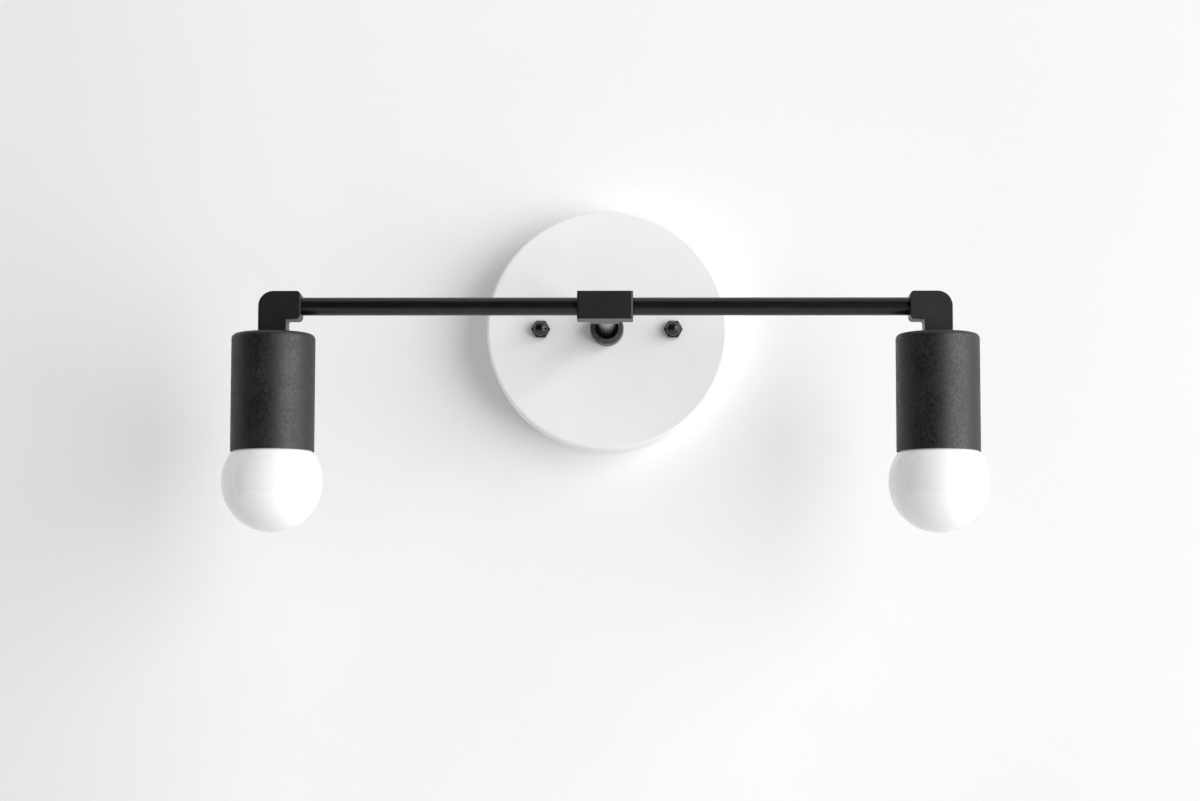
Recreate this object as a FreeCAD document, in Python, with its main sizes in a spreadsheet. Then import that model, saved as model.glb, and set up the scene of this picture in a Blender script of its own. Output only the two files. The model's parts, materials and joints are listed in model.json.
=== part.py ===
import FreeCAD
import Part
import Sketcher

import math
import os
import re

# A two-lamp bar light for a wall. Millimetres, +Z up, +X to the right of someone who faces the wall.
# The origin is the centre of the canopy's back, on the wall's surface, and the light stands out
# towards -Y. The arms, the tee and the elbows share one level, Z = 0.

SIZES = [
    # canopy and its fixings
    ("canopy_diameter", 127.0, "outside diameter of the round canopy"),
    ("canopy_depth", 25.4, "wall to the canopy's face"),
    ("canopy_sheet", 1.2, "sheet of the canopy"),
    ("canopy_round", 1.6, "rounding of the canopy's front rim"),
    ("stud_spacing", 69.85, "between the two studs"),
    ("stud_diameter", 4.17, "thread of the studs"),
    ("nut_flats", 8.73, "across the flats of the stud's nuts"),
    ("lock_nut_height", 3.2, "height of a stud's lock nut"),
    ("cap_nut_hexagon", 4.2, "height of a cap nut's hexagon"),
    ("cap_nut_slope", 1.5, "slope of the cap nut's turned-off corners, across over along"),
    ("cap_nut_neck", 1.0, "straight part under a cap nut's dome"),
    ("cap_nut_dome", 7.9, "diameter of a cap nut's dome"),
    ("cap_nut_bore", 6.6, "depth of a cap nut's thread"),
    ("stud_short", 0.6, "stud's end to the bottom of the cap nut's thread"),
    # strap on the wall box
    ("strap_length", 112.0, "length of the mounting strap"),
    ("strap_width", 15.9, "width of the mounting strap"),
    ("strap_sheet", 1.9, "thickness of the mounting strap"),
    ("strap_corner", 3.0, "corner rounding of the mounting strap"),
    ("strap_eye", 10.3, "diameter of the strap's centre hole"),
    ("box_screw_spacing", 88.9, "between the slots for the wall box's screws"),
    ("slot_width", 4.8, "width of a slot"),
    ("slot_length", 11.0, "length of a slot, half of it beyond the wall box's screw"),
    ("slot_web", 1.89, "strap between a stud's hole and the slot"),
    # collar, stem and arms
    ("collar_diameter", 17.5, "outside of the collar"),
    ("collar_depth", 9.5, "length of the collar"),
    ("collar_floor", 2.5, "tapped floor of the collar"),
    ("collar_mouth", 12.2, "diameter of the collar's recess"),
    ("collar_edge", 0.5, "rounding of the collar's outer edge"),
    ("stem_reach", 101.6, "canopy's face to the tee's face"),
    ("tube_diameter", 9.0, "outside of the stem and the arms"),
    ("tube_wall", 1.0, "wall of the stem and the arms"),
    ("arm_sight", 137.0, "length of an arm between its fittings"),
    ("stem_tail", 1.4, "stem's end beyond its nut"),
    ("washer_diameter", 14.4, "outside of the stem's washer and ground ring"),
    ("washer_sheet", 1.0, "thickness of the stem's washer"),
    ("washer_split", 1.2, "gap in the split washer"),
    ("tube_nut_flats", 14.0, "across the flats of the nuts on the stem and nipples"),
    ("stem_nut_height", 4.0, "height of the stem's nut"),
    # tee and elbows
    ("fitting_side", 14.0, "side of the square stock"),
    ("fitting_leg", 6.9, "leg of a fitting beyond its square"),
    ("tube_seat", 7.0, "depth of a tube's seat in a fitting"),
    ("wire_bore", 8.2, "wire passage in a fitting"),
    ("elbow_round", 7.5, "outer corner of an elbow"),
    ("elbow_inner_round", 1.0, "inner corner of an elbow"),
    ("leg_round", 2.0, "rounded end corners of an elbow's legs and the tee's rear leg"),
    ("tee_round", 1.0, "rounded end corners of the tee's bar"),
    ("fitting_edge", 0.3, "softened edges of the fittings"),
    # socket cup and what hangs in it
    ("cup_diameter", 41.6, "outside of a socket cup"),
    ("cup_height", 58.4, "height of a socket cup"),
    ("cup_sheet", 0.6, "sheet of a socket cup"),
    ("cup_shoulder", 2.6, "rounding of a cup's shoulder"),
    ("nipple_diameter", 9.6, "thread of a socket's nipple"),
    ("nipple_bore", 7.2, "bore of a socket's nipple"),
    ("nipple_nut_height", 3.0, "height of a nipple's nut"),
    ("nipple_tail", 0.5, "nipple's end beyond its nut"),
    ("bracket_sheet", 1.2, "sheet of the socket's bracket"),
    ("bracket_width", 13.0, "width of the socket's bracket"),
    ("bracket_inside", 17.2, "between the bracket's legs"),
    ("bracket_height", 12.4, "height of the bracket"),
    ("bracket_foot", 30.8, "end to end of the bracket's feet"),
    ("bracket_screw_spacing", 25.2, "between the bracket's screws"),
    ("bracket_screw", 3.0, "thread of the bracket's screws"),
    ("bracket_screw_head", 5.0, "head of the bracket's screws"),
    ("bracket_screw_depth", 4.2, "bracket's screws in the porcelain"),
    ("small_head_height", 1.8, "height of the bracket's and terminals' screw heads"),
    ("socket_diameter", 33.6, "outside of the porcelain"),
    ("socket_length", 30.0, "length of the porcelain"),
    ("socket_floor", 5.0, "floor of the porcelain"),
    ("socket_rim", 1.5, "porcelain beyond the end of the screw shell"),
    ("shell_sheet", 0.4, "sheet of the screw shells"),
    ("shell_eye", 13.0, "hole in the socket shell's end"),
    ("ring_swell", 0.7, "height of the screw thread's rings"),
    ("ring_round", 1.0, "radius of the screw thread's rings"),
    ("ring_pitch", 3.63, "pitch of the screw thread"),
    ("shell_rings", 5, "rings in the socket's shell"),
    ("contact_sheet", 0.6, "sheet of the contact and of the shell's tab"),
    ("contact_width", 4.6, "width of the contact and of the shell's tab"),
    ("contact_eye", 9.6, "hole in the porcelain's floor for the contact"),
    ("contact_set", 3.6, "lamp's axis to the contact's leg"),
    ("tab_set", 7.2, "lamp's axis to the shell tab's leg"),
    ("tab_end", 13.5, "lamp's axis to the ends of the contact and the tab"),
    ("terminal_set", 10.5, "lamp's axis to a terminal screw"),
    ("terminal_screw", 3.5, "thread of a terminal screw"),
    ("terminal_head", 6.4, "head of a terminal screw"),
    ("terminal_end", 0.5, "porcelain left under a terminal screw"),
    ("screw_slot", 0.8, "width of a screw's slot"),
    # bulb
    ("bulb_diameter", 50.0, "diameter of a globe"),
    ("bulb_reach", 36.1, "cup's rim to the tip of a seated bulb"),
    ("glass_wall", 1.0, "wall of a globe"),
    ("glass_seat", 6.0, "neck of the globe inside its base"),
    ("neck_sight", 0.35, "straight neck beyond the end of its base"),
    ("base_diameter", 25.0, "screw base between its rings"),
    ("base_length", 20.4, "length of the screw base's shell"),
    ("base_rings", 4, "rings on the screw base"),
    ("insulator_height", 3.0, "height of the base's insulator"),
    ("insulator_top", 11.0, "insulator's diameter at the contact"),
    ("tip_diameter", 9.4, "diameter of the bulb's contact"),
    ("tip_height", 1.2, "height of the bulb's contact"),
    ("mount_diameter", 6.4, "glass mount inside the globe"),
    ("mount_height", 17.0, "glass mount beyond its flare"),
    ("mount_flare", 4.0, "height of the glass mount's flare"),
    ("filament_width", 18.0, "between the filament's supports"),
    ("filament_wire", 0.7, "filament's supports"),
    ("filament_coil", 1.3, "filament's coil"),
    # wires
    ("wire_diameter", 2.0, "insulated wire"),
    ("strand_diameter", 1.0, "bare end of a wire"),
    ("wire_pitch", 2.3, "between two wires side by side"),
    ("wire_bend", 7.5, "middle radius of a pair's bend in a fitting"),
    ("tail_bend", 8.65, "middle radius of the bend behind the stem"),
    ("sweep_bend", 8.0, "inner radius of the bends towards a connector"),
    ("sweep_slant", 45.0, "slant of the wires towards a connector, degrees"),
    ("lead_bend", 4.0, "radius of a wire's bend under the nipple"),
    ("lead_end_bend", 3.0, "radius of a wire's last bend, at its terminal"),
    ("lead_drop", 3.0, "nipple's end to the point of that bend"),
    ("lead_reach", 4.3, "terminal screw to the point of the wire's last bend"),
    ("lead_over", 2.1, "wire's end beyond its terminal screw"),
    ("strip_start", 1.5, "insulated wire beyond its bend under the nipple"),
    ("sweep_start", 13.5, "arms' level to the first sideways bend behind the stem"),
    ("connector_set", 13.0, "canopy's middle to a wire connector"),
    ("connector_level", 31.5, "arms' level to a connector's mouth"),
    ("connector_length", 20.0, "length of a wire connector"),
    ("connector_mouth", 11.0, "diameter of a connector's mouth"),
    ("connector_tip", 7.6, "diameter of a connector's closed end"),
    ("connector_bore", 5.8, "bore of a connector"),
    ("connector_depth", 12.0, "depth of a connector's bore"),
    ("wire_in_connector", 10.5, "wires inside a connector"),
    # ground
    ("ring_sheet", 0.8, "sheet of the ground ring"),
    ("ring_tongue", 4.0, "width of the ground ring's tongue"),
    ("barrel_start", 9.0, "stem's axis to the ground ring's barrel"),
    ("barrel_length", 6.0, "length of the barrel"),
    ("barrel_wall", 0.7, "wall of the barrel"),
    ("ground_set", 14.0, "stem's axis to the ground screw"),
    ("ground_screw", 4.17, "thread of the ground screw"),
    ("ground_head", 7.2, "head of the ground screw"),
    ("ground_head_height", 2.4, "height of the ground screw's head"),
    ("ground_turn", 20.0, "stem's axis to the ground wire's straight run"),
    ("ground_bend", 4.9, "ground wire's bend near the ring"),
    ("ground_end_bend", 2.8, "ground wire's bend near its screw"),
    ("ground_over", 2.6, "ground wire's end beyond its screw"),
    ("ground_strip", 1.7, "bare ground wire before its last bend"),
    # clearances, each on one side
    ("thread_gap", 0.05, "between a thread and its nut or tapped hole"),
    ("seat_gap", 0.05, "between a tube and its seat"),
    ("hole_gap", 0.35, "between a screw and a plain hole"),
    ("touch_gap", 0.05, "between a round wire and what it lies on"),
    ("rim_gap", 0.3, "between a globe and its cup's rim"),
    ("bulb_gap", 0.3, "between a bulb's rings and the socket's shell"),
    ("contact_gap", 0.25, "between a seated bulb and the contact"),
    ("glass_gap", 0.1, "cement between a globe's neck and its base"),
    ("shell_gap", 0.1, "between the socket's shell and the porcelain"),
]

# Places that follow from the sizes: each is a formula, written once.
PLACES = [
    ("tube_r", "tube_diameter / 2"),
    ("stud_x", "stud_spacing / 2"),
    ("slot_start", "stud_x + stud_diameter / 2 + thread_gap + slot_web"),
    ("slot_end", "(box_screw_spacing + slot_length) / 2"),
    ("face_y", "-canopy_depth"),
    ("inner_face_y", "-canopy_depth + canopy_sheet"),
    ("tee_face_y", "-canopy_depth - stem_reach"),
    ("axis_y", "tee_face_y + fitting_side / 2"),
    ("leg_end", "fitting_side / 2 + fitting_leg"),
    ("seat_end", "leg_end - tube_seat"),
    ("lamp_x", "2 * leg_end + arm_sight"),
    ("ring_y", "inner_face_y + ring_sheet"),
    ("washer_y", "ring_y + washer_sheet"),
    ("stem_nut_y", "washer_y + stem_nut_height"),
    ("stem_end_y", "stem_nut_y + stem_tail"),
    ("barrel_r", "wire_diameter / 2 + seat_gap + barrel_wall"),
    ("barrel_y", "inner_face_y + barrel_r + seat_gap"),
    ("ground_wire_y", "-strap_sheet - strand_diameter / 2 - touch_gap"),
    ("ground_screw_z", "-(ground_screw + strand_diameter) / 2 - touch_gap"),
    ("cup_r", "cup_diameter / 2"),
    ("cup_top_z", "-leg_end"),
    ("cup_rim_z", "cup_top_z - cup_height"),
    ("upper_nut_z", "cup_top_z - cup_sheet - nipple_nut_height"),
    ("plate_z", "upper_nut_z - bracket_sheet"),
    ("lower_nut_z", "plate_z - nipple_nut_height"),
    ("nipple_end_z", "lower_nut_z - nipple_tail"),
    ("socket_top_z", "upper_nut_z - bracket_height"),
    ("socket_floor_z", "socket_top_z - socket_floor"),
    ("socket_end_z", "socket_top_z - socket_length"),
    ("foot_z", "socket_top_z + bracket_sheet"),
    ("tab_z", "socket_top_z + contact_sheet"),
    ("lead_z", "tab_z + strand_diameter / 2 + touch_gap"),
    ("terminal_head_z", "lead_z + strand_diameter / 2 + touch_gap"),
    ("lead_x", "terminal_screw / 2 + strand_diameter / 2 + touch_gap"),
    ("bulb_drop", "sqrt(pow(bulb_diameter / 2; 2) - pow(cup_r - cup_sheet - rim_gap; 2))"),
    ("globe_z", "cup_rim_z - bulb_drop"),
    ("tip_z", "cup_rim_z + bulb_reach"),
    ("insulator_z", "tip_z - tip_height"),
    ("base_z", "insulator_z - insulator_height"),
    ("base_end_z", "base_z - base_length"),
    ("base_r", "base_diameter / 2"),
    ("shell_r", "base_r + ring_swell + bulb_gap"),
    ("flange_z", "socket_floor_z - shell_sheet"),
    ("shell_end_z", "socket_end_z + socket_rim"),
    ("socket_bore_r", "shell_r + shell_sheet + ring_swell + shell_gap"),
    ("contact_z", "tip_z + contact_gap"),
    ("neck_r", "base_r - shell_sheet - glass_gap"),
    ("neck_z", "base_end_z - neck_sight"),
    ("glass_flare", "(pow(neck_z - globe_z; 2) - pow(bulb_diameter / 2; 2) + pow(neck_r; 2))"
                    " / (bulb_diameter - 2 * neck_r)"),
]

doc = FreeCAD.newDocument("pipe_wall_light")
SIDES = (("left", -1), ("right", 1))
SUB_PARTS = []


# ---- sizes and formulas ----

def make_sizes():
    """Put every size into the sheet, with its name as the cell's alias."""
    sheet = doc.addObject("Spreadsheet::Sheet", "Sizes")
    for row, (name, size, note) in enumerate(SIZES, start=1):
        sheet.set(f"A{row}", name)
        sheet.set(f"B{row}", str(size))
        sheet.set(f"C{row}", note)
        sheet.setAlias(f"B{row}", name)
    doc.recompute()
    return sheet


def formula(text):
    """Point each size's and place's name in a formula at the object that holds it."""
    size_names = {name for name, _, _ in SIZES}
    place_names = {name for name, _ in PLACES}

    def owner(match):
        word = match.group(0)
        if word in size_names:
            return "Sizes." + word
        if word in place_names:
            return "Places." + word
        return word

    return re.sub(r"[a-z_]+[a-z]", owner, text)


def make_places():
    """Hold the places as properties that follow the sheet."""
    places = doc.addObject("App::VarSet", "Places")
    for name, text in PLACES:
        places.addProperty("App::PropertyFloat", name)
        places.setExpression(name, formula(text))
        doc.recompute()
    return places


sizes = make_sizes()
places = make_places()


def bind(thing, **formulas):
    """Tie an object's properties to formulas."""
    for name, text in formulas.items():
        thing.setExpression(name, formula(text))
    return thing


def put(thing, x="0", y="0", z="0", turn=None):
    """Place an object at a formula's point, turned by (axis, degrees)."""
    if turn:
        thing.Placement = FreeCAD.Placement(FreeCAD.Vector(), FreeCAD.Rotation(turn[0], turn[1]))
    for letter, text in (("x", x), ("y", y), ("z", z)):
        thing.setExpression(f"Placement.Base.{letter}", formula(text))
    return thing


def sub_part(thing, name):
    """Name a finished piece and list it for export."""
    thing.Label = name
    SUB_PARTS.append(thing)
    return thing


ALONG_X = (FreeCAD.Vector(0, 1, 0), 90)
ALONG_MINUS_Y = (FreeCAD.Vector(1, 0, 0), 90)
ALONG_MINUS_Z = (FreeCAD.Vector(1, 0, 0), 180)
HALF_TURN = (FreeCAD.Vector(0, 0, 1), 180)


# ---- solids from primitives ----

def rod(radius, length, x="0", y="0", z="0", turn=None):
    """A cylinder along +Z, or along the direction that turn gives."""
    return put(bind(doc.addObject("Part::Cylinder", "rod"), Radius=radius, Height=length), x, y, z, turn)


def cone(radius, end_radius, length, x="0", y="0", z="0", turn=None):
    shape = bind(doc.addObject("Part::Cone", "cone"), Radius1=radius, Radius2=end_radius, Height=length)
    return put(shape, x, y, z, turn)


def block(length, width, height, x="0", y="0", z="0"):
    """A box whose low corner is at x, y, z."""
    return put(bind(doc.addObject("Part::Box", "block"), Length=length, Width=width, Height=height), x, y, z)


def hexagon(flats, height, x="0", y="0", z="0", turn=None):
    shape = doc.addObject("Part::Prism", "hexagon")
    shape.Polygon = 6
    return put(bind(shape, Circumradius=f"{flats} / sqrt(3)", Height=height), x, y, z, turn)


def ball(radius, x="0", y="0", z="0"):
    return put(bind(doc.addObject("Part::Sphere", "ball"), Radius=radius), x, y, z)


def ring(radius, section, x="0", y="0", z="0"):
    return put(bind(doc.addObject("Part::Torus", "ring"), Radius1=radius, Radius2=section), x, y, z)


def joined(*shapes):
    fuse = doc.addObject("Part::MultiFuse", "joined")
    fuse.Shapes = list(shapes)
    return fuse


def common(*shapes):
    overlap = doc.addObject("Part::MultiCommon", "common")
    overlap.Shapes = list(shapes)
    return overlap


def cut(base, *tools):
    result = doc.addObject("Part::Cut", "cut")
    result.Base = base
    result.Tool = tools[0] if len(tools) == 1 else joined(*tools)
    return result


def group(*shapes):
    """Separate solids under one name."""
    together = doc.addObject("Part::Compound", "group")
    together.Links = list(shapes)
    return together


# ---- solids from sketches ----

def origin_plane(body, role):
    return [item for item in body.Origin.OriginFeatures if item.Role == role][0]


def new_sketch(body, plane):
    sketch = body.newObject("Sketcher::SketchObject", "sketch")
    sketch.AttachmentSupport = [(origin_plane(body, plane), "")]
    sketch.MapMode = "FlatFace"
    return sketch


def fix(sketch, kind, item, point, text):
    """Dimension a point of the sketch from its origin with a formula."""
    start = getattr(sketch.getPoint(item, point), "x" if kind == "DistanceX" else "y")
    number = sketch.addConstraint(Sketcher.Constraint(kind, -1, 1, item, point, start))
    name = f"{kind}_{item}_{point}"
    sketch.renameConstraint(number, name)
    sketch.setExpression(f"Constraints.{name}", formula(text))


def draw_outline(sketch, points):
    """A closed outline of straight lines through points given as pairs of formulas."""
    count = len(points)
    first = sketch.GeometryCount
    spread = [FreeCAD.Vector(math.cos(2 * math.pi * k / count), math.sin(2 * math.pi * k / count), 0)
              for k in range(count)]
    for k in range(count):
        sketch.addGeometry(Part.LineSegment(spread[k], spread[(k + 1) % count]), False)
    for k in range(count):
        after = first + (k + 1) % count
        sketch.addConstraint(Sketcher.Constraint("Coincident", first + k, 2, after, 1))
    for k, (across, along) in enumerate(points):
        fix(sketch, "DistanceX", first + k, 1, across)
        fix(sketch, "DistanceY", first + k, 1, along)


def draw_circle(sketch, across, along, radius):
    """A circle whose centre and radius are formulas."""
    circle = Part.Circle(FreeCAD.Vector(1, 1, 0), FreeCAD.Vector(0, 0, 1), 1)
    item = sketch.addGeometry(circle, False)
    fix(sketch, "DistanceX", item, 3, across)
    fix(sketch, "DistanceY", item, 3, along)
    number = sketch.addConstraint(Sketcher.Constraint("Radius", item, 1.0))
    sketch.renameConstraint(number, f"Radius_{item}")
    sketch.setExpression(f"Constraints.Radius_{item}", formula(radius))


def draw_slot(sketch, across, along, half_run, radius):
    """A slot along the sketch's X: two half circles joined by two lines."""
    first = sketch.GeometryCount
    for middle, start in ((-1, math.pi / 2), (1, -math.pi / 2)):
        circle = Part.Circle(FreeCAD.Vector(middle, 1, 0), FreeCAD.Vector(0, 0, 1), 0.5)
        sketch.addGeometry(Part.ArcOfCircle(circle, start, start + math.pi), False)
    for start, end in ((-1, 1), (1, -1)):
        level = 0.5 if start > 0 else 1.5
        line = Part.LineSegment(FreeCAD.Vector(start, 2 - level, 0), FreeCAD.Vector(end, 2 - level, 0))
        sketch.addGeometry(line, False)
    left, right, lower, upper = first, first + 1, first + 2, first + 3
    for arc, arc_end, line, line_end in ((left, 2, lower, 1), (lower, 2, right, 1),
                                         (right, 2, upper, 1), (upper, 2, left, 1)):
        sketch.addConstraint(Sketcher.Constraint("Tangent", arc, arc_end, line, line_end))
    sketch.addConstraint(Sketcher.Constraint("Equal", left, right))
    for arc, sign in ((left, "-"), (right, "+")):
        fix(sketch, "DistanceX", arc, 3, f"{across} {sign} {half_run}")
        fix(sketch, "DistanceY", arc, 3, along)
    number = sketch.addConstraint(Sketcher.Constraint("Radius", left, 0.5))
    sketch.renameConstraint(number, f"Radius_{left}")
    sketch.setExpression(f"Constraints.Radius_{left}", formula(radius))


def turned(name, plane, points, axis="V_Axis"):
    """A body turned on a lathe: a half outline revolved round an axis of its sketch."""
    body = doc.addObject("PartDesign::Body", name)
    sketch = new_sketch(body, plane)
    draw_outline(sketch, points)
    solid = body.newObject("PartDesign::Revolution", "turning")
    solid.Profile = sketch
    solid.ReferenceAxis = (sketch, [axis])
    solid.Angle = 360
    doc.recompute()
    return body


def bored(body, plane, points, axis):
    """Bore a body along an axis of its sketch's plane, to a stepped half outline."""
    sketch = new_sketch(body, plane)
    draw_outline(sketch, points)
    solid = body.newObject("PartDesign::Groove", "bore")
    solid.Profile = sketch
    solid.ReferenceAxis = (sketch, [axis])
    solid.Angle = 360
    doc.recompute()


def rounded(body, radius, wanted):
    """Round those edges of the body that the test picks."""
    base = body.Tip
    names = [f"Edge{k}" for k, edge in enumerate(base.Shape.Edges, start=1) if wanted(edge)]
    fillet = body.newObject("PartDesign::Fillet", "rounding")
    fillet.Base = (base, names)
    fillet.setExpression("Radius", formula(radius))
    doc.recompute()


def runs_along(edge, axis):
    """True for a straight edge along a row axis, "x", "y" or "z"."""
    if not isinstance(edge.Curve, Part.Line):
        return False
    return abs(abs(getattr(edge.Curve.Direction, axis)) - 1) < 1e-6


def middle(edge):
    return edge.valueAt((edge.FirstParameter + edge.LastParameter) / 2)


# ---- canopy and its fixings ----

def make_canopy():
    """A round pan open at the wall, with a stem hole and two stud holes."""
    radius = "canopy_diameter / 2"
    eye = "tube_r + hole_gap"
    body = turned("canopy", "XY_Plane", [
        (radius, "0"), (radius, "face_y"), (eye, "face_y"), (eye, "inner_face_y"),
        (f"{radius} - canopy_sheet", "inner_face_y"), (f"{radius} - canopy_sheet", "0")])
    outer, face = sizes.canopy_diameter / 2, places.face_y
    rounded(body, "canopy_round", lambda edge: isinstance(edge.Curve, Part.Circle)
            and abs(edge.Curve.Radius - outer) < 1e-6 and abs(middle(edge).y - face) < 1e-6)
    sketch = new_sketch(body, "XZ_Plane")
    for sign in ("-", ""):
        draw_circle(sketch, f"{sign}stud_x", "0", "stud_diameter / 2 + hole_gap")
    holes = body.newObject("PartDesign::Pocket", "stud_holes")
    holes.Profile = sketch
    holes.Type = "ThroughAll"
    holes.Midplane = True
    doc.recompute()
    sub_part(body, "canopy")


def make_strap():
    """The strap on the wall box: two slots, two tapped stud holes, an eye and a ground hole."""
    body = doc.addObject("PartDesign::Body", "canopy_crossbar")
    sketch = new_sketch(body, "XZ_Plane")
    half, side = "strap_length / 2", "strap_width / 2"
    draw_outline(sketch, [(f"-{half}", f"-{side}"), (half, f"-{side}"), (half, side), (f"-{half}", side)])
    draw_circle(sketch, "0", "0", "strap_eye / 2")
    draw_circle(sketch, "-ground_set", "ground_screw_z", "ground_screw / 2 + thread_gap")
    for sign in ("-", ""):
        draw_circle(sketch, f"{sign}stud_x", "0", "stud_diameter / 2 + thread_gap")
        draw_slot(sketch, f"{sign}(slot_start + slot_end) / 2", "0",
                  "(slot_end - slot_start - slot_width) / 2", "slot_width / 2")
    plate = body.newObject("PartDesign::Pad", "plate")
    plate.Profile = sketch
    bind(plate, Length="strap_sheet")
    doc.recompute()
    end = sizes.strap_length / 2
    rounded(body, "strap_corner", lambda edge: runs_along(edge, "y")
            and abs(abs(middle(edge).x) - end) < 1e-6)
    sub_part(body, "canopy_crossbar")


def make_studs():
    length = "canopy_depth + cap_nut_bore - stud_short"
    studs = [rod("stud_diameter / 2", length, f"{sign}stud_x", "0", "0", ALONG_MINUS_Y)
             for sign in ("-", "")]
    sub_part(group(*studs), "canopy_studs")


def make_lock_nuts():
    nuts = []
    for sign in ("-", ""):
        x = f"{sign}stud_x"
        nut = hexagon("nut_flats", "lock_nut_height", x, "-strap_sheet", "0", ALONG_MINUS_Y)
        hole = rod("stud_diameter / 2 + thread_gap", "lock_nut_height", x, "-strap_sheet", "0",
                   ALONG_MINUS_Y)
        nuts.append(cut(nut, hole))
    sub_part(group(*nuts), "stud_lock_nuts")


def make_cap_nuts():
    """Domed nuts: a hexagon with turned-off corners, a short neck and a dome, bored blind."""
    nuts = []
    for sign in ("-", ""):
        x = f"{sign}stud_x"
        prism = hexagon("nut_flats", "cap_nut_hexagon", x, "face_y", "0", ALONG_MINUS_Y)
        turning = cone("nut_flats / 2 + cap_nut_hexagon * cap_nut_slope", "nut_flats / 2", "cap_nut_hexagon",
                       x, "face_y", "0", ALONG_MINUS_Y)
        neck = rod("cap_nut_dome / 2", "cap_nut_hexagon + cap_nut_neck", x, "face_y", "0", ALONG_MINUS_Y)
        dome = ball("cap_nut_dome / 2", x, "face_y - cap_nut_hexagon - cap_nut_neck", "0")
        bore = rod("stud_diameter / 2 + thread_gap", "cap_nut_bore", x, "face_y", "0", ALONG_MINUS_Y)
        nuts.append(cut(joined(common(prism, turning), neck, dome), bore))
    sub_part(group(*nuts), "cap_nuts")


def make_collar():
    """A turned collar, tapped onto the stem, with a recess round the stem at its front."""
    front = "face_y - collar_depth"
    floor = "face_y - collar_floor"
    bore = "tube_r + thread_gap"
    body = turned("stem_collar", "XY_Plane", [
        (bore, "face_y"), ("collar_diameter / 2", "face_y"), ("collar_diameter / 2", front),
        ("collar_mouth / 2", front), ("collar_mouth / 2", floor), (bore, floor)])
    outer = sizes.collar_diameter / 2
    rounded(body, "collar_edge", lambda edge: isinstance(edge.Curve, Part.Circle)
            and abs(edge.Curve.Radius - outer) < 1e-6
            and middle(edge).y < places.face_y - sizes.collar_depth / 2)
    sub_part(body, "stem_collar")


def make_stem_washer():
    """A split washer that bears on the ground ring."""
    disc = rod("washer_diameter / 2", "washer_sheet", "0", "washer_y", "0", ALONG_MINUS_Y)
    eye = rod("tube_r + thread_gap", "washer_sheet", "0", "washer_y", "0", ALONG_MINUS_Y)
    split = block("washer_split", "washer_sheet", "washer_diameter",
                  "-washer_split / 2", "washer_y - washer_sheet", "0")
    sub_part(cut(disc, eye, split), "stem_lock_washer")


def make_stem_nut():
    nut = hexagon("tube_nut_flats", "stem_nut_height", "0", "stem_nut_y", "0", ALONG_MINUS_Y)
    hole = rod("tube_r + thread_gap", "stem_nut_height", "0", "stem_nut_y", "0", ALONG_MINUS_Y)
    sub_part(cut(nut, hole), "stem_nut")


def make_ground():
    """A ring under the stem's washer, with a barrel for the ground wire, and the strap's screw."""
    disc = rod("washer_diameter / 2", "ring_sheet", "0", "ring_y", "0", ALONG_MINUS_Y)
    eye = rod("tube_r + thread_gap", "ring_sheet", "0", "ring_y", "0", ALONG_MINUS_Y)
    tongue = block("barrel_start - tube_r", "ring_sheet", "ring_tongue",
                   "-barrel_start - barrel_wall", "inner_face_y", "-ring_tongue / 2")
    barrel = rod("barrel_r", "barrel_length", "-barrel_start - barrel_length", "barrel_y", "0", ALONG_X)
    bore = rod("wire_diameter / 2 + seat_gap", "barrel_length",
               "-barrel_start - barrel_length", "barrel_y", "0", ALONG_X)
    sub_part(cut(joined(cut(disc, eye), tongue, barrel), bore), "ground_ring_terminal")

    head_y = "ground_wire_y - strand_diameter / 2 - touch_gap"
    head = rod("ground_head / 2", "ground_head_height", "-ground_set", head_y, "ground_screw_z",
               ALONG_MINUS_Y)
    shank = rod("ground_screw / 2", f"-({head_y})", "-ground_set", "0", "ground_screw_z", ALONG_MINUS_Y)
    slot = block("ground_head", "ground_head_height / 2", "screw_slot",
                 "-ground_set - ground_head / 2", f"{head_y} - ground_head_height",
                 "ground_screw_z - screw_slot / 2")
    sub_part(cut(joined(head, shank), slot), "ground_screw")


def make_connectors():
    """Two twist-on wire connectors, mouths up, each with a blind bore."""
    connectors = []
    for sign in ("-", ""):
        middle_y = "stem_end_y + tail_bend {} wire_pitch / 2".format("-" if sign else "+")
        x = f"{sign}connector_set"
        body = cone("connector_mouth / 2", "connector_tip / 2", "connector_length", x, middle_y,
                    "-connector_level", ALONG_MINUS_Z)
        bore = rod("connector_bore / 2", "connector_depth", x, middle_y, "-connector_level",
                   ALONG_MINUS_Z)
        connectors.append(cut(body, bore))
    sub_part(group(*connectors), "wire_connectors")


# ---- stem, arms, tee and elbows ----

def make_stem():
    """The tube from the tee's seat, through collar and canopy, to behind its nut."""
    start, end = "axis_y + seat_end", "stem_end_y"
    outer, inner = "tube_r", "tube_r - tube_wall"
    body = turned("stem", "XY_Plane", [(inner, start), (outer, start), (outer, end), (inner, end)])
    sub_part(body, "stem")


def make_arm(side, sign):
    """A tube between the seats of the tee and the elbow."""
    outer, inner = "tube_r", "tube_r - tube_wall"
    end = "seat_end + arm_sight + 2 * tube_seat"
    body = turned(f"{side}_arm", "XY_Plane", [
        ("seat_end", inner), (end, inner), (end, outer), ("seat_end", outer)], "H_Axis")
    put(body, "0", "axis_y", "0", HALF_TURN if sign < 0 else None)
    sub_part(body, f"{side}_arm")


def seat_outline(seat):
    """Half outline of a stepped bore from a fitting's middle: wire passage, then a leg's seat."""
    return [("0", "0"), ("0", "wire_bore / 2"), ("seat_end", "wire_bore / 2"),
            ("seat_end", seat), ("leg_end", seat), ("leg_end", "0")]


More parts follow.
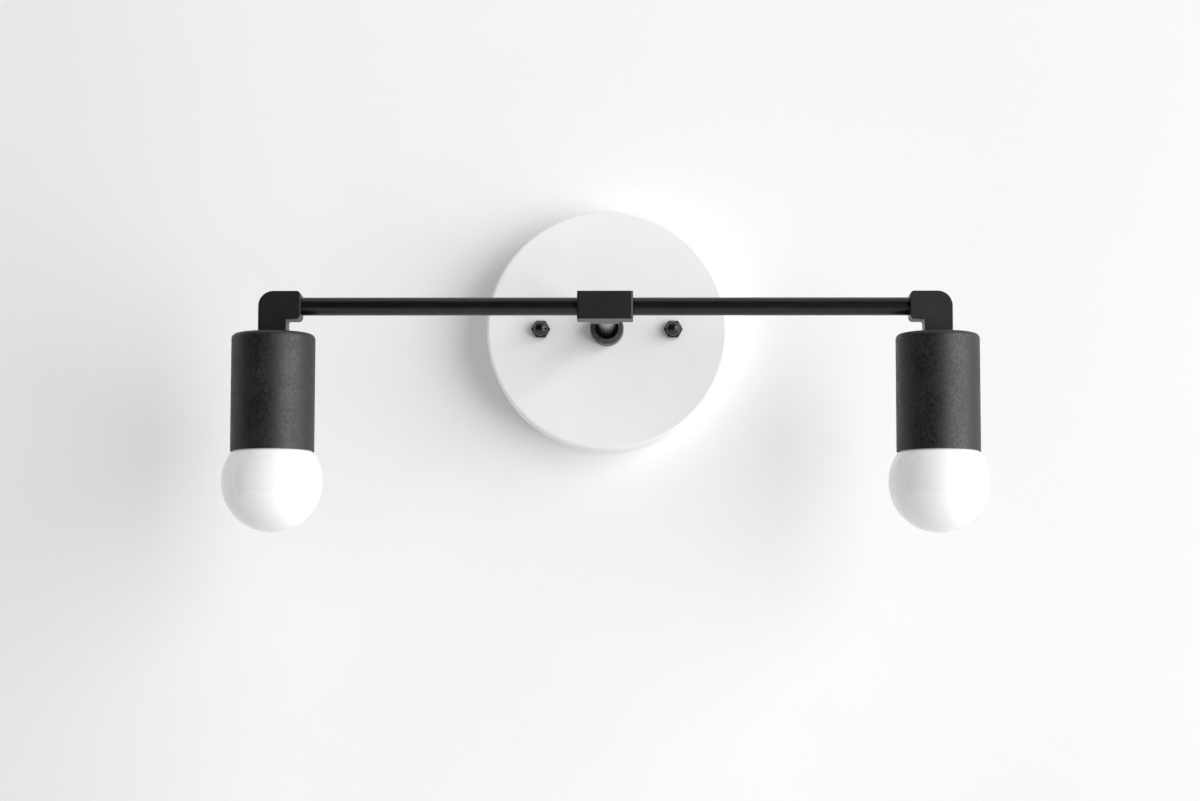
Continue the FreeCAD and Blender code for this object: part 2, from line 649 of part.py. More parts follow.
def soften(body, axis):
    """Take the sharpness off the two flat outlines of a fitting."""
    level = sizes.fitting_side / 2

    def on_outline(edge):
        points = [vertex.Point for vertex in edge.Vertexes] + [middle(edge)]
        return all(abs(abs(getattr(point, axis)) - level) < 1e-6 for point in points)

    rounded(body, "fitting_edge", on_outline)


def make_tee():
    """A T of square stock: a bar along X, closed at the front, and a rear leg for the stem."""
    body = doc.addObject("PartDesign::Body", "tee_fitting")
    sketch = new_sketch(body, "XY_Plane")
    side, end = "fitting_side / 2", "leg_end"
    draw_outline(sketch, [(f"-{end}", f"-{side}"), (end, f"-{side}"), (end, side), (side, side),
                          (side, end), (f"-{side}", end), (f"-{side}", side), (f"-{end}", side)])
    stock = body.newObject("PartDesign::Pad", "stock")
    stock.Profile = sketch
    stock.Midplane = True
    bind(stock, Length="fitting_side")
    doc.recompute()
    reach = places.leg_end
    rounded(body, "tee_round", lambda edge: runs_along(edge, "z")
            and abs(abs(middle(edge).x) - reach) < 1e-6)
    rounded(body, "leg_round", lambda edge: runs_along(edge, "z")
            and abs(middle(edge).y - reach) < 1e-6)
    soften(body, "z")
    seat = "tube_r + seat_gap"
    bored(body, "XY_Plane", [
        (f"-{end}", "0"), (f"-{end}", seat), ("-seat_end", seat), ("-seat_end", "wire_bore / 2"),
        ("seat_end", "wire_bore / 2"), ("seat_end", seat), (end, seat), (end, "0")], "H_Axis")
    rear = [(radius, reach) for reach, radius in seat_outline(seat)]
    bored(body, "XY_Plane", rear, "V_Axis")
    put(body, "0", "axis_y", "0")
    sub_part(body, "tee_fitting")


def make_elbow(side, sign):
    """An L of square stock: one leg towards the tee, one leg down to the cup."""
    body = doc.addObject("PartDesign::Body", f"{side}_elbow")
    sketch = new_sketch(body, "XZ_Plane")
    half, end = "fitting_side / 2", "leg_end"
    draw_outline(sketch, [(f"-{half}", f"-{end}"), (half, f"-{end}"), (half, f"-{half}"),
                          (end, f"-{half}"), (end, half), (f"-{half}", half)])
    stock = body.newObject("PartDesign::Pad", "stock")
    stock.Profile = sketch
    stock.Midplane = True
    bind(stock, Length="fitting_side")
    doc.recompute()
    level, reach = sizes.fitting_side / 2, places.leg_end

    def corner(x, z):
        return lambda edge: (runs_along(edge, "y") and abs(middle(edge).x - x) < 1e-6
                             and abs(middle(edge).z - z) < 1e-6)

    def leg_corner(edge):
        spot = middle(edge)
        return runs_along(edge, "y") and (abs(spot.x - reach) < 1e-6 or abs(spot.z + reach) < 1e-6)

    rounded(body, "elbow_round", corner(-level, level))
    rounded(body, "elbow_inner_round", corner(level, -level))
    rounded(body, "leg_round", leg_corner)
    soften(body, "y")
    bored(body, "XZ_Plane", seat_outline("tube_r + seat_gap"), "H_Axis")
    down = seat_outline("nipple_diameter / 2 + thread_gap")
    bored(body, "XZ_Plane", [(radius, f"-({reach})") for reach, radius in down], "V_Axis")
    put(body, "lamp_x" if sign > 0 else "-lamp_x", "axis_y", "0", HALF_TURN if sign > 0 else None)
    sub_part(body, f"{side}_elbow")


# ---- one lamp's cup and socket ----

def at_lamp(sign, shift="0"):
    """A formula for a place across the light, measured from one lamp's axis."""
    return f"{'' if sign > 0 else '-'}lamp_x + {shift}"


def make_cup(side, sign):
    """A spun cup: a flat top with a hole for the nipple, a round shoulder and a straight wall."""
    eye = "nipple_diameter / 2 + thread_gap"
    body = turned(f"{side}_socket_cup", "XZ_Plane", [
        (eye, "cup_top_z"), ("cup_r", "cup_top_z"), ("cup_r", "cup_rim_z"),
        ("cup_r - cup_sheet", "cup_rim_z"), ("cup_r - cup_sheet", "cup_top_z - cup_sheet"),
        (eye, "cup_top_z - cup_sheet")])
    outer = places.cup_r

    def at_top(radius, level):
        return lambda edge: (isinstance(edge.Curve, Part.Circle) and abs(edge.Curve.Radius - radius) < 1e-6
                             and abs(middle(edge).z - level) < 1e-6)

    rounded(body, "cup_shoulder", at_top(outer, places.cup_top_z))
    rounded(body, "cup_shoulder - cup_sheet",
            at_top(outer - sizes.cup_sheet, places.cup_top_z - sizes.cup_sheet))
    put(body, at_lamp(sign), "axis_y", "0")
    sub_part(body, f"{side}_socket_cup")


def make_nipple(side, sign):
    """The hollow threaded rod that holds cup and socket to the elbow."""
    outer, inner = "nipple_diameter / 2", "nipple_bore / 2"
    top = "-seat_end"
    body = turned(f"{side}_socket_nipple", "XZ_Plane", [
        (inner, top), (outer, top), (outer, "nipple_end_z"), (inner, "nipple_end_z")])
    put(body, at_lamp(sign), "axis_y", "0")
    sub_part(body, f"{side}_socket_nipple")


def make_nipple_nuts(side, sign):
    """Two nuts on the nipple: one clamps the cup, one clamps the bracket."""
    nuts = []
    for level in ("upper_nut_z", "lower_nut_z"):
        nut = hexagon("tube_nut_flats", "nipple_nut_height", at_lamp(sign), "axis_y", level)
        hole = rod("nipple_diameter / 2 + thread_gap", "nipple_nut_height", at_lamp(sign), "axis_y", level)
        nuts.append(cut(nut, hole))
    sub_part(group(*nuts), f"{side}_nipple_nuts")


def make_bracket(side, sign):
    """A hat-shaped strap: its top on the nipple, its two feet on the porcelain."""
    width, sheet = "bracket_width", "bracket_sheet"
    inside = "bracket_inside / 2"
    y = "axis_y - bracket_width / 2"
    top = block("bracket_inside + 2 * bracket_sheet", width, sheet,
                at_lamp(sign, f"-({inside} + bracket_sheet)"), y, "plate_z")
    pieces = [top]
    holes = [rod("nipple_diameter / 2 + thread_gap", sheet, at_lamp(sign), "axis_y", "plate_z")]
    foot = "(bracket_foot - bracket_inside) / 2"
    for direction, leg_start, foot_start in (("-", f"-({inside} + {sheet})", "-bracket_foot / 2"),
                                             ("", inside, inside)):
        pieces.append(block(sheet, width, "plate_z - socket_top_z + bracket_sheet / 2",
                            at_lamp(sign, leg_start), y, "socket_top_z"))
        pieces.append(block(foot, width, sheet, at_lamp(sign, foot_start), y, "socket_top_z"))
        holes.append(rod("bracket_screw / 2 + hole_gap", sheet,
                         at_lamp(sign, f"{direction}bracket_screw_spacing / 2"), "axis_y", "socket_top_z"))
    sub_part(cut(joined(*pieces), *holes), f"{side}_socket_bracket")


def slotted_screw(x, y, head_z, head, thread, length):
    """A pan screw, head up, whose thread runs down from head_z."""
    cap = rod(f"{head} / 2", "small_head_height", x, y, head_z)
    shank = rod(f"{thread} / 2", f"{length} + small_head_height / 2", x, y, f"{head_z} - {length}")
    slot = block(head, "screw_slot", "small_head_height / 2", f"{x} - {head} / 2",
                 f"{y} - screw_slot / 2", f"{head_z} + small_head_height / 2")
    return cut(joined(cap, shank), slot)


def make_bracket_screws(side, sign):
    screws = [slotted_screw(at_lamp(sign, f"{direction}bracket_screw_spacing / 2"), "axis_y", "foot_z",
                            "bracket_screw_head", "bracket_screw", "(bracket_sheet + bracket_screw_depth)")
              for direction in ("-", "")]
    sub_part(group(*screws), f"{side}_bracket_screws")


def make_socket_body(side, sign):
    """The porcelain: a thick-floored cup with holes for contact, tab, terminals and bracket."""
    x = at_lamp(sign)
    body = rod("socket_diameter / 2", "socket_length", x, "axis_y", "socket_end_z")
    bore = rod("socket_bore_r", "socket_length - socket_floor", x, "axis_y", "socket_end_z")
    eye = rod("contact_eye / 2", "socket_length", x, "axis_y", "socket_end_z")
    tab = block("contact_width + 2 * shell_gap", "contact_sheet + 2 * shell_gap", "socket_length",
                at_lamp(sign, "-contact_width / 2 - shell_gap"), "axis_y + tab_set - shell_gap",
                "socket_end_z")
    holes = [bore, eye, tab]
    for direction in ("-", ""):
        holes.append(rod("terminal_screw / 2 + shell_gap", "socket_floor - terminal_end", x,
                         f"axis_y + {direction}terminal_set", "socket_floor_z + terminal_end"))
        holes.append(rod("bracket_screw / 2 + thread_gap", "bracket_screw_depth",
                         at_lamp(sign, f"{direction}bracket_screw_spacing / 2"), "axis_y",
                         "socket_top_z - bracket_screw_depth"))
    sub_part(cut(body, *holes), f"{side}_socket_body")


def thread_rings(x, radius, top, count):
    """Rings that swell from a radius at the screw thread's pitch, the first one pitch below top."""
    return [ring(f"{radius} + ring_swell - ring_round", "ring_round", x, "axis_y",
                 f"{top} - ring_pitch * {k + 1}") for k in range(int(count))]


def make_screw_shell(side, sign):
    """The socket's thread: a thin ringed shell with an end flange and the neutral tab."""
    x = at_lamp(sign)
    length = "flange_z + shell_sheet - shell_end_z"
    outside = joined(rod("shell_r + shell_sheet", length, x, "axis_y", "shell_end_z"),
                     *thread_rings(x, "shell_r + shell_sheet", "flange_z", sizes.shell_rings))
    inside = joined(rod("shell_r", "flange_z - shell_end_z", x, "axis_y", "shell_end_z"),
                    *thread_rings(x, "shell_r", "flange_z", sizes.shell_rings))
    eye = rod("shell_eye / 2", "shell_sheet", x, "axis_y", "flange_z")
    across = at_lamp(sign, "-contact_width / 2")
    leg = block("contact_width", "contact_sheet", "tab_z - flange_z - shell_sheet / 2", across,
                "axis_y + tab_set", "flange_z + shell_sheet / 2")
    tab = block("contact_width", "tab_end - tab_set", "contact_sheet", across, "axis_y + tab_set",
                "socket_top_z")
    hole = rod("terminal_screw / 2 + thread_gap", "contact_sheet", x, "axis_y + terminal_set",
               "socket_top_z")
    sub_part(joined(cut(outside, inside, eye), cut(joined(leg, tab), hole)), f"{side}_screw_shell")


def make_contact(side, sign):
    """The centre contact: a strip from the hot terminal down through the porcelain's eye."""
    across = at_lamp(sign, "-contact_width / 2")
    tab = block("contact_width", "tab_end - contact_set + contact_sheet", "contact_sheet", across,
                "axis_y - tab_end", "socket_top_z")
    leg = block("contact_width", "contact_sheet", "tab_z - contact_z", across, "axis_y - contact_set",
                "contact_z")
    tongue = block("contact_width", "2 * contact_set", "contact_sheet", across, "axis_y - contact_set",
                   "contact_z")
    hole = rod("terminal_screw / 2 + thread_gap", "contact_sheet", at_lamp(sign), "axis_y - terminal_set",
               "socket_top_z")
    sub_part(cut(joined(tab, leg, tongue), hole), f"{side}_centre_contact")


def make_terminal(side, sign, name, direction):
    """A terminal screw that holds a wire's bare end on its tab."""
    length = "(terminal_head_z - socket_floor_z - terminal_end - hole_gap)"
    screw = slotted_screw(at_lamp(sign), f"axis_y {direction} terminal_set", "terminal_head_z",
                          "terminal_head", "terminal_screw", length)
    sub_part(screw, f"{side}_{name}_terminal_screw")


# ---- one bulb ----

def revolve_face(edges, x):
    """Turn a closed half outline in the XZ plane round the vertical axis, then carry it to a lamp."""
    face = Part.Face(Part.Wire(edges))
    solid = face.revolve(FreeCAD.Vector(), FreeCAD.Vector(0, 0, 1), 360)
    feature = doc.addObject("Part::Feature", "turned")
    feature.Shape = solid
    return put(feature, x, "axis_y", "0")


def make_globe(side, sign):
    """The opal glass: a ball whose neck flares into it through one arc, hollow all through."""
    radius, flare = sizes.bulb_diameter / 2, places.glass_flare
    wall, neck = sizes.glass_wall, places.neck_r
    centre_z, neck_z = places.globe_z, places.neck_z
    top_z = places.base_end_z + sizes.glass_seat

    def flat(r, z):
        return FreeCAD.Vector(r, 0, z)

    def skin(inset):
        """Neck, flare and ball of the outer skin, or of one inset from it."""
        ball_r, flare_r, neck_r = radius - inset, flare + inset, neck - inset
        arc_centre = flat(neck + flare, neck_z)
        centre = flat(0, centre_z)
        towards = (arc_centre - centre).normalize()
        meet = centre + towards * ball_r
        lean = math.atan2(towards.z, towards.x)
        half_lean = (math.pi + lean) / 2 + math.pi / 2
        between = arc_centre + flat(math.cos(half_lean), math.sin(half_lean)) * flare_r
        low = centre + flat(math.cos(lean / 2 - math.pi / 4), math.sin(lean / 2 - math.pi / 4)) * ball_r
        start = flat(neck_r, neck_z)
        return [Part.LineSegment(flat(neck_r, top_z), start), Part.Arc(start, between, meet),
                Part.Arc(meet, low, flat(0, centre_z - ball_r))]

    outer, inner = skin(0), skin(wall)
    closing = [Part.LineSegment(flat(neck - wall, top_z), flat(neck, top_z)),
               Part.LineSegment(flat(0, centre_z - radius), flat(0, centre_z - radius + wall))]
    edges = [curve.toShape() for curve in outer + inner + closing]
    feature = revolve_face(Part.__sortEdges__(edges), at_lamp(sign))
    sub_part(feature, f"{side}_bulb_globe")


def make_bulb_base(side, sign):
    """The bulb's screw base: a ringed shell, its insulator and its contact."""
    x = at_lamp(sign)
    outside = joined(rod("base_r", "base_length", x, "axis_y", "base_end_z"),
                     *thread_rings(x, "base_r", "base_z + ring_pitch / 3", sizes.base_rings))
    inside = rod("base_r - shell_sheet", "base_length", x, "axis_y", "base_end_z")
    sub_part(cut(outside, inside), f"{side}_bulb_base_shell")

    insulator = cone("base_r", "insulator_top / 2", "insulator_height", x, "axis_y", "base_z")
    sub_part(insulator, f"{side}_bulb_insulator")

    tip = rod("tip_diameter / 2", "tip_height", x, "axis_y", "insulator_z")
    sub_part(tip, f"{side}_bulb_contact")


def make_bulb_inside(side, sign):
    """The glass mount with its flare, and the filament on its two supports."""
    x = at_lamp(sign)
    top = "(neck_z - mount_flare)"
    flare = cone("mount_diameter / 2", "neck_r - glass_wall - glass_gap", "mount_flare",
                 x, "axis_y", top)
    stalk = rod("mount_diameter / 2", "mount_height", x, "axis_y", f"{top} - mount_height")
    mount = joined(flare, stalk)
    sub_part(mount, f"{side}_bulb_mount")

    end = f"{top} - mount_height"
    coil = rod("filament_coil / 2", "filament_width + 2 * filament_wire",
               at_lamp(sign, "-filament_width / 2 - filament_wire"), "axis_y", "globe_z", ALONG_X)
    bar = block("filament_width + 2 * filament_wire", "2 * filament_wire", "filament_wire",
                at_lamp(sign, "-filament_width / 2 - filament_wire"), "axis_y - filament_wire",
                f"{end} - filament_wire")
    supports = [rod("filament_wire / 2", f"{end} - filament_wire / 2 - globe_z",
                    at_lamp(sign, f"{direction}filament_width / 2"), "axis_y", "globe_z")
                for direction in ("-", "")]
    sub_part(joined(coil, bar, *supports), f"{side}_bulb_filament")


# ---- wires ----

def rounded_path(points, radii):
    """Straight runs through the points, joined by tangent arcs of the given radii."""
    edges = []
    start = points[0]
    for before, corner, after, radius in zip(points, points[1:], points[2:], radii):
        inward, outward = (corner - before).normalize(), (after - corner).normalize()
        turn = inward.getAngle(outward)
        reach = radius * math.tan(turn / 2)
        first, last = corner - inward * reach, corner + outward * reach
        bisector = (outward - inward).normalize()
        arc_middle = corner + bisector * (radius / math.cos(turn / 2) - radius)
        edges.append(Part.LineSegment(start, first).toShape())
        edges.append(Part.Arc(first, arc_middle, last).toShape())
        start = last
    edges.append(Part.LineSegment(start, points[-1]).toShape())
    return edges


def tube_along(edges, radius):
    """A round solid of one radius along a path, with its volume checked."""
    path = Part.Wire(edges)
    first = edges[0]
    start = first.valueAt(first.FirstParameter)
    section = Part.Wire(Part.makeCircle(radius, start, first.tangentAt(first.FirstParameter)))
    solid = path.makePipeShell([section], True, False)
    expected = math.pi * radius ** 2 * path.Length
    if abs(solid.Volume / expected - 1) > 0.01:
        raise ValueError(f"a wire's volume is {solid.Volume:.1f}, not {expected:.1f}")
    return solid


def stripped_wire(name, points, radii, insulated_runs, strip_at):
    """An insulated wire whose last stretch is bare, from strip_at along the run after the last
    insulated corner."""
    edges = rounded_path(points, radii)
    run = edges[2 * insulated_runs]
    start, end = run.valueAt(run.FirstParameter), run.valueAt(run.LastParameter)
    ahead = (end - start).normalize()
    strip = start + ahead * strip_at
    back = strip - ahead * sizes.strand_diameter
    insulated = tube_along(edges[:2 * insulated_runs] + [Part.LineSegment(start, strip).toShape()],
                           sizes.wire_diameter / 2)
    bare = tube_along([Part.LineSegment(back, end).toShape()] + edges[2 * insulated_runs + 1:],
                      sizes.strand_diameter / 2)
    feature = doc.addObject("Part::Feature", name)
    feature.Shape = insulated.fuse(bare).removeSplitter()
    length = sum(edge.Length for edge in edges)
    print(f"{name}: length {length:.1f}, radii", [round(radius, 2) for radius in radii])
    sub_part(feature, name)


def make_lamp_wire(side, sign, name, level):
    """One wire, whole, from its connector in the canopy to its terminal screw.

    level is +1 for the hot wire, which lies above, and -1 for the neutral wire, which lies below.
    """
    lane, lamp, axis_y = sizes.wire_pitch / 2, sign * places.lamp_x, places.axis_y
    lane_x, lane_z = sign * lane, level * lane
    behind_y = places.stem_end_y + sizes.tail_bend + lane_z
    inner = sign == level
    slant = math.radians(sizes.sweep_slant)
    lag = 0 if inner else sizes.wire_pitch * math.tan(slant / 2)
    sweep_z = -sizes.sweep_start - lag
    sweep_end_z = sweep_z - sizes.connector_set / math.tan(slant)
    goal_x = level * sizes.connector_set + lane_x
    near, far = sizes.sweep_bend, sizes.sweep_bend + sizes.wire_pitch
    down_x = lamp + sign * level * lane
    lead_x = lamp + sign * level * places.lead_x
    away = -level
    terminal_y = axis_y + away * sizes.terminal_set
    bend_z = places.nipple_end_z - sizes.lead_drop
    points = [
        (goal_x, behind_y, -sizes.connector_level - sizes.wire_in_connector),
        (goal_x, behind_y, sweep_end_z),
        (lane_x, behind_y, sweep_z),
        (lane_x, behind_y, lane_z),
        (lane_x, axis_y, lane_z),
        (down_x, axis_y, lane_z),
        (down_x, axis_y, bend_z),
        (lead_x, terminal_y - away * sizes.lead_reach, places.lead_z),
        (lead_x, terminal_y + away * sizes.lead_over, places.lead_z),
    ]
    radii = [far if inner else near, near if inner else far, sizes.tail_bend + lane_z, sizes.wire_bend,
             sizes.wire_bend + lane_z, sizes.lead_bend, sizes.lead_end_bend]
    corners = [FreeCAD.Vector(*point) for point in points]
    stripped_wire(f"{side}_{name}_wire", corners, radii, 6, sizes.strip_start)


def make_ground_wire():
    """The green wire from the ring's barrel to the strap's ground screw."""
    turn_x, end_x = -sizes.ground_turn, -sizes.ground_set + sizes.ground_over
    start_x = -sizes.barrel_start - sizes.barrel_wall
    ring_y, strap_y = places.barrel_y, places.ground_wire_y
    corners = [FreeCAD.Vector(start_x, ring_y, 0), FreeCAD.Vector(turn_x, ring_y, 0),
               FreeCAD.Vector(turn_x, strap_y, 0), FreeCAD.Vector(end_x, strap_y, 0)]
    run = strap_y - ring_y - sizes.ground_bend - sizes.ground_end_bend
    stripped_wire("ground_wire", corners, [sizes.ground_bend, sizes.ground_end_bend], 1,
                  run - sizes.ground_strip)


# ---- the whole light ----

def make_light():
    make_canopy()
    make_cap_nuts()
    make_strap()
    make_studs()
    make_lock_nuts()
    make_collar()
    make_stem()
    make_stem_washer()
    make_stem_nut()
    make_ground()
    make_ground_wire()
    make_connectors()
    make_tee()
    for side, sign in SIDES:
        make_arm(side, sign)
        make_elbow(side, sign)
        make_cup(side, sign)
        make_nipple(side, sign)
        make_nipple_nuts(side, sign)
        make_bracket(side, sign)
        make_bracket_screws(side, sign)
        make_socket_body(side, sign)
        make_screw_shell(side, sign)
        make_contact(side, sign)
        make_terminal(side, sign, "hot", "-")
        make_terminal(side, sign, "neutral", "+")
        make_lamp_wire(side, sign, "hot", 1)
        make_lamp_wire(side, sign, "neutral", -1)
        make_globe(side, sign)
        make_bulb_base(side, sign)
        make_bulb_inside(side, sign)
    doc.recompute()


def check_light():
    """Stop if any object failed or any piece is empty or broken."""
    for thing in doc.Objects:
        if "Invalid" in thing.State or "Error" in thing.State:
            owners = [owner.Label for owner in thing.InListRecursive]
            raise ValueError(f"{thing.Label} in {owners[:4]} did not compute")
    for piece in SUB_PARTS:
        if piece.Shape.isNull() or not piece.Shape.isValid() or piece.Shape.Volume <= 0:
            raise ValueError(f"{piece.Label} is not a valid solid")


def export_light():
    os.makedirs("parts", exist_ok=True)
    for piece in SUB_PARTS:
        piece.Shape.exportStep(f"parts/{piece.Label}.step")


make_light()
check_light()
export_light()
print(len(SUB_PARTS), "pieces")
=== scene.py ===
import json
import math

import bmesh
import bpy
from mathutils import Matrix, Vector


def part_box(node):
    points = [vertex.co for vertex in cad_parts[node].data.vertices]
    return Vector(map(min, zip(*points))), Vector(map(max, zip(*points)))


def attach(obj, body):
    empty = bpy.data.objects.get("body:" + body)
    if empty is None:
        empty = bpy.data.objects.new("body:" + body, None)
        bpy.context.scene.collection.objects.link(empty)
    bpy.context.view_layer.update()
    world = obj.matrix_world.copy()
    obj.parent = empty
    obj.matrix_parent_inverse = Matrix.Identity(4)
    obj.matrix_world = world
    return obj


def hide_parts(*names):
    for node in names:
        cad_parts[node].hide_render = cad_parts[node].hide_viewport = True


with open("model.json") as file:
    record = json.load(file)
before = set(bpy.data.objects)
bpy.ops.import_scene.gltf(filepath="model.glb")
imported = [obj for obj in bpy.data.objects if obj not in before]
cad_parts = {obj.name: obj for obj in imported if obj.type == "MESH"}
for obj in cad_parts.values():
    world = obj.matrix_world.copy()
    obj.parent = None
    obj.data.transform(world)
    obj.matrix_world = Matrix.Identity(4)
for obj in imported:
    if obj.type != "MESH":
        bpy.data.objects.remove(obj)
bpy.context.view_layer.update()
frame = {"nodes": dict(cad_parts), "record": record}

# A two-lamp bar light on a white wall. Metres, +Z up; the wall is the plane Y = 0 and the room is
# on the -Y side.

MM = 0.001
NODES = frame["nodes"]
SIDES = ("left", "right")
WHITE = (1.0, 1.0, 1.0, 1.0)


# ---- camera ----

CAMERA_PLACE = (0.016421, -1.608577, -0.195802)
CAMERA_PITCH = 5.710        # degrees above the horizon
CAMERA_YAW = 0.728          # degrees to the left of straight ahead
CAMERA_ROLL = 0.071         # degrees
FOCAL_PIXELS = 3020.7       # focal length in the photograph's pixels
PHOTO_WIDTH = 1200.0        # pixels
SENSOR = 36.0               # millimetres
CLIP_NEAR, CLIP_FAR = 0.05, 50.0


def make_camera():
    data = bpy.data.cameras.new("photo_camera")
    data.sensor_width = SENSOR
    data.lens = FOCAL_PIXELS / PHOTO_WIDTH * SENSOR
    data.clip_start = CLIP_NEAR
    data.clip_end = CLIP_FAR
    camera = bpy.data.objects.new("photo_camera", data)
    bpy.context.scene.collection.objects.link(camera)
    camera.matrix_world = (Matrix.Translation(CAMERA_PLACE)
                           @ Matrix.Rotation(math.radians(CAMERA_YAW), 4, "Z")
                           @ Matrix.Rotation(math.radians(90 + CAMERA_PITCH), 4, "X")
                           @ Matrix.Rotation(math.radians(CAMERA_ROLL), 4, "Z"))
    bpy.context.scene.camera = camera


# ---- node helpers ----

BEVEL_SAMPLES = 4
EDGE_COSINES = (0.98, 0.82)     # rounded against true normal: on an open face, on a sharp edge
MIX_SHARE, MIX_FIRST, MIX_SECOND, MIX_RESULT = 0, 6, 7, 2       # a colour Mix node's sockets
# The part of a noise's range that is spread over 0 to 1: the narrower, the crisper the blotches.
CRISP, MEDIUM, SOFT, SOFTEST = (0.35, 0.65), (0.3, 0.7), (0.25, 0.75), (0.2, 0.8)


def grey(tone):
    return (tone, tone, tone)


class Finish:
    """A procedural material: its nodes are added one by one, and its shader's sockets are set or
    linked by name, with _ for each space."""

    def __init__(self, name, **shader):
        self.material = bpy.data.materials.new(name)
        self.material.use_nodes = True
        self.tree = self.material.node_tree
        self.shader = self.tree.nodes["Principled BSDF"]
        for socket, value in shader.items():
            self.shader.inputs[socket.replace("_", " ")].default_value = value
        self.place = self.add("ShaderNodeTexCoord").outputs["Object"]

    def fill(self, socket, value):
        """Link another node's output to a socket, or set the socket to a value."""
        if isinstance(value, bpy.types.NodeSocket):
            self.tree.links.new(value, socket)
        else:
            socket.default_value = value

    def add(self, kind, settings=(), **inputs):
        """A node with its settings; inputs are values or other nodes' outputs, by socket name."""
        node = self.tree.nodes.new(kind)
        for key, value in dict(settings).items():
            setattr(node, key, value)
        for socket, value in inputs.items():
            self.fill(node.inputs[socket.replace("_", " ")], value)
        return node

    def stretched(self, scale):
        """Object coordinates scaled per axis."""
        node = self.add("ShaderNodeMapping", Vector=self.place, Scale=scale)
        return node.outputs["Vector"]

    def noise(self, size, detail=3.0, rough=0.55, where=None):
        """Noise from 0 to 1 whose blotches are about that size, in metres."""
        node = self.add("ShaderNodeTexNoise", Vector=where or self.place, Scale=1.0 / size,
                        Detail=detail, Roughness=rough)
        return node.outputs["Fac"]

    def cells(self, size):
        """Distance to the nearest of scattered points, which are about that size apart."""
        node = self.add("ShaderNodeTexVoronoi", Vector=self.place, Scale=1.0 / size)
        return node.outputs["Distance"]

    def spread(self, value, low, high, to_low=0.0, to_high=1.0):
        """Map a value's range to another one, smoothly and clamped."""
        node = self.add("ShaderNodeMapRange", {"interpolation_type": "SMOOTHSTEP"}, Value=value)
        for socket, number in (("From Min", low), ("From Max", high),
                               ("To Min", to_low), ("To Max", to_high)):
            node.inputs[socket].default_value = number
        return node.outputs["Result"]

    def maths(self, operation, first, second):
        node = self.add("ShaderNodeMath", {"operation": operation})
        self.fill(node.inputs[0], first)
        self.fill(node.inputs[1], second)
        return node.outputs[0]

    def mix(self, share, first, second):
        """A colour between two colours, each a tuple or an output."""
        node = self.add("ShaderNodeMix", {"data_type": "RGBA"})
        self.fill(node.inputs[MIX_SHARE], share)
        for number, colour in ((MIX_FIRST, first), (MIX_SECOND, second)):
            self.fill(node.inputs[number], (*colour, 1.0) if type(colour) is tuple else colour)
        return node.outputs[MIX_RESULT]

    def edges(self, radius):
        """A mask of the piece's sharp edges: 1 on an edge, 0 on open faces."""
        bevel = self.add("ShaderNodeBevel", {"samples": BEVEL_SAMPLES}, Radius=radius)
        normal = self.add("ShaderNodeNewGeometry").outputs["Normal"]
        dot = self.add("ShaderNodeVectorMath", {"operation": "DOT_PRODUCT"})
        self.tree.links.new(bevel.outputs["Normal"], dot.inputs[0])
        self.tree.links.new(normal, dot.inputs[1])
        return self.spread(dot.outputs["Value"], *EDGE_COSINES)

    def set(self, **sockets):
        """Link nodes' outputs to the shader's sockets."""
        for socket, value in sockets.items():
            self.tree.links.new(value, self.shader.inputs[socket.replace("_", " ")])

    def bump(self, height, depth):
        """Bump whose full height is that depth, in metres."""
        node = self.add("ShaderNodeBump", Height=height, Distance=depth)
        self.set(Normal=node.outputs["Normal"])


PAINT_EDGE = 0.35 * MM
WEAR_PATCH = 3 * MM
WEAR_RANGE = (0.45, 0.7)
WEAR_LEAST = 0.15
PLATED_EDGE = 0.25 * MM
SCRATCH_STRETCH = (0.08, 1.0, 1.0)
SCRATCH_CLOUD = 0.6         # size of the scratches' clouds, as a share of the tone's
SCRATCH_STRENGTH = (0.7, 1.3)


def coated(name, dark, light, patch, rough, grain, depth, wear=None, wear_share=0.5, **shader):
    """Paint, powder coat, glaze or moulded plastic: blotches of colour, fine grain, worn edges."""
    finish = Finish(name, **shader)
    blotch = finish.spread(finish.noise(patch, detail=4.0), *CRISP)
    colour = finish.mix(blotch, dark, light)
    if wear:
        worn = finish.spread(finish.noise(WEAR_PATCH), *WEAR_RANGE, WEAR_LEAST, wear_share)
        colour = finish.mix(finish.maths("MULTIPLY", finish.edges(PAINT_EDGE), worn), colour, wear)
    fine = finish.noise(grain, detail=2.0)
    finish.set(Base_Color=colour, Roughness=finish.spread(fine, *MEDIUM, *rough))
    finish.bump(fine, depth)
    return finish.material


def plated(name, dark, light, patch, rough, scratch, depth, worn=None):
    """Bare or plated metal: clouded tone, fine scratches along X, brighter edges."""
    finish = Finish(name, Metallic=1.0)
    cloud = finish.spread(finish.noise(patch, detail=5.0), *MEDIUM)
    colour = finish.mix(cloud, dark, light)
    if worn:
        colour = finish.mix(finish.edges(PLATED_EDGE), colour, worn)
    lines = finish.noise(scratch, where=finish.stretched(SCRATCH_STRETCH))
    strength = finish.spread(finish.noise(patch * SCRATCH_CLOUD), *SOFTEST, *SCRATCH_STRENGTH)
    mixed = finish.maths("MULTIPLY", lines, strength)
    finish.set(Base_Color=colour, Roughness=finish.spread(mixed, *SOFT, *rough))
    finish.bump(lines, depth)
    return finish.material


# ---- finishes ----

def canopy_white():
    """White powder coat with a faint orange peel."""
    return coated("canopy_white", dark=(0.915, 0.915, 0.91), light=(0.94, 0.94, 0.935),
                  patch=30 * MM, rough=(0.38, 0.5), grain=0.9 * MM, depth=0.012 * MM,
                  wear=(0.70, 0.70, 0.69), wear_share=0.35, Specular_IOR_Level=0.4)


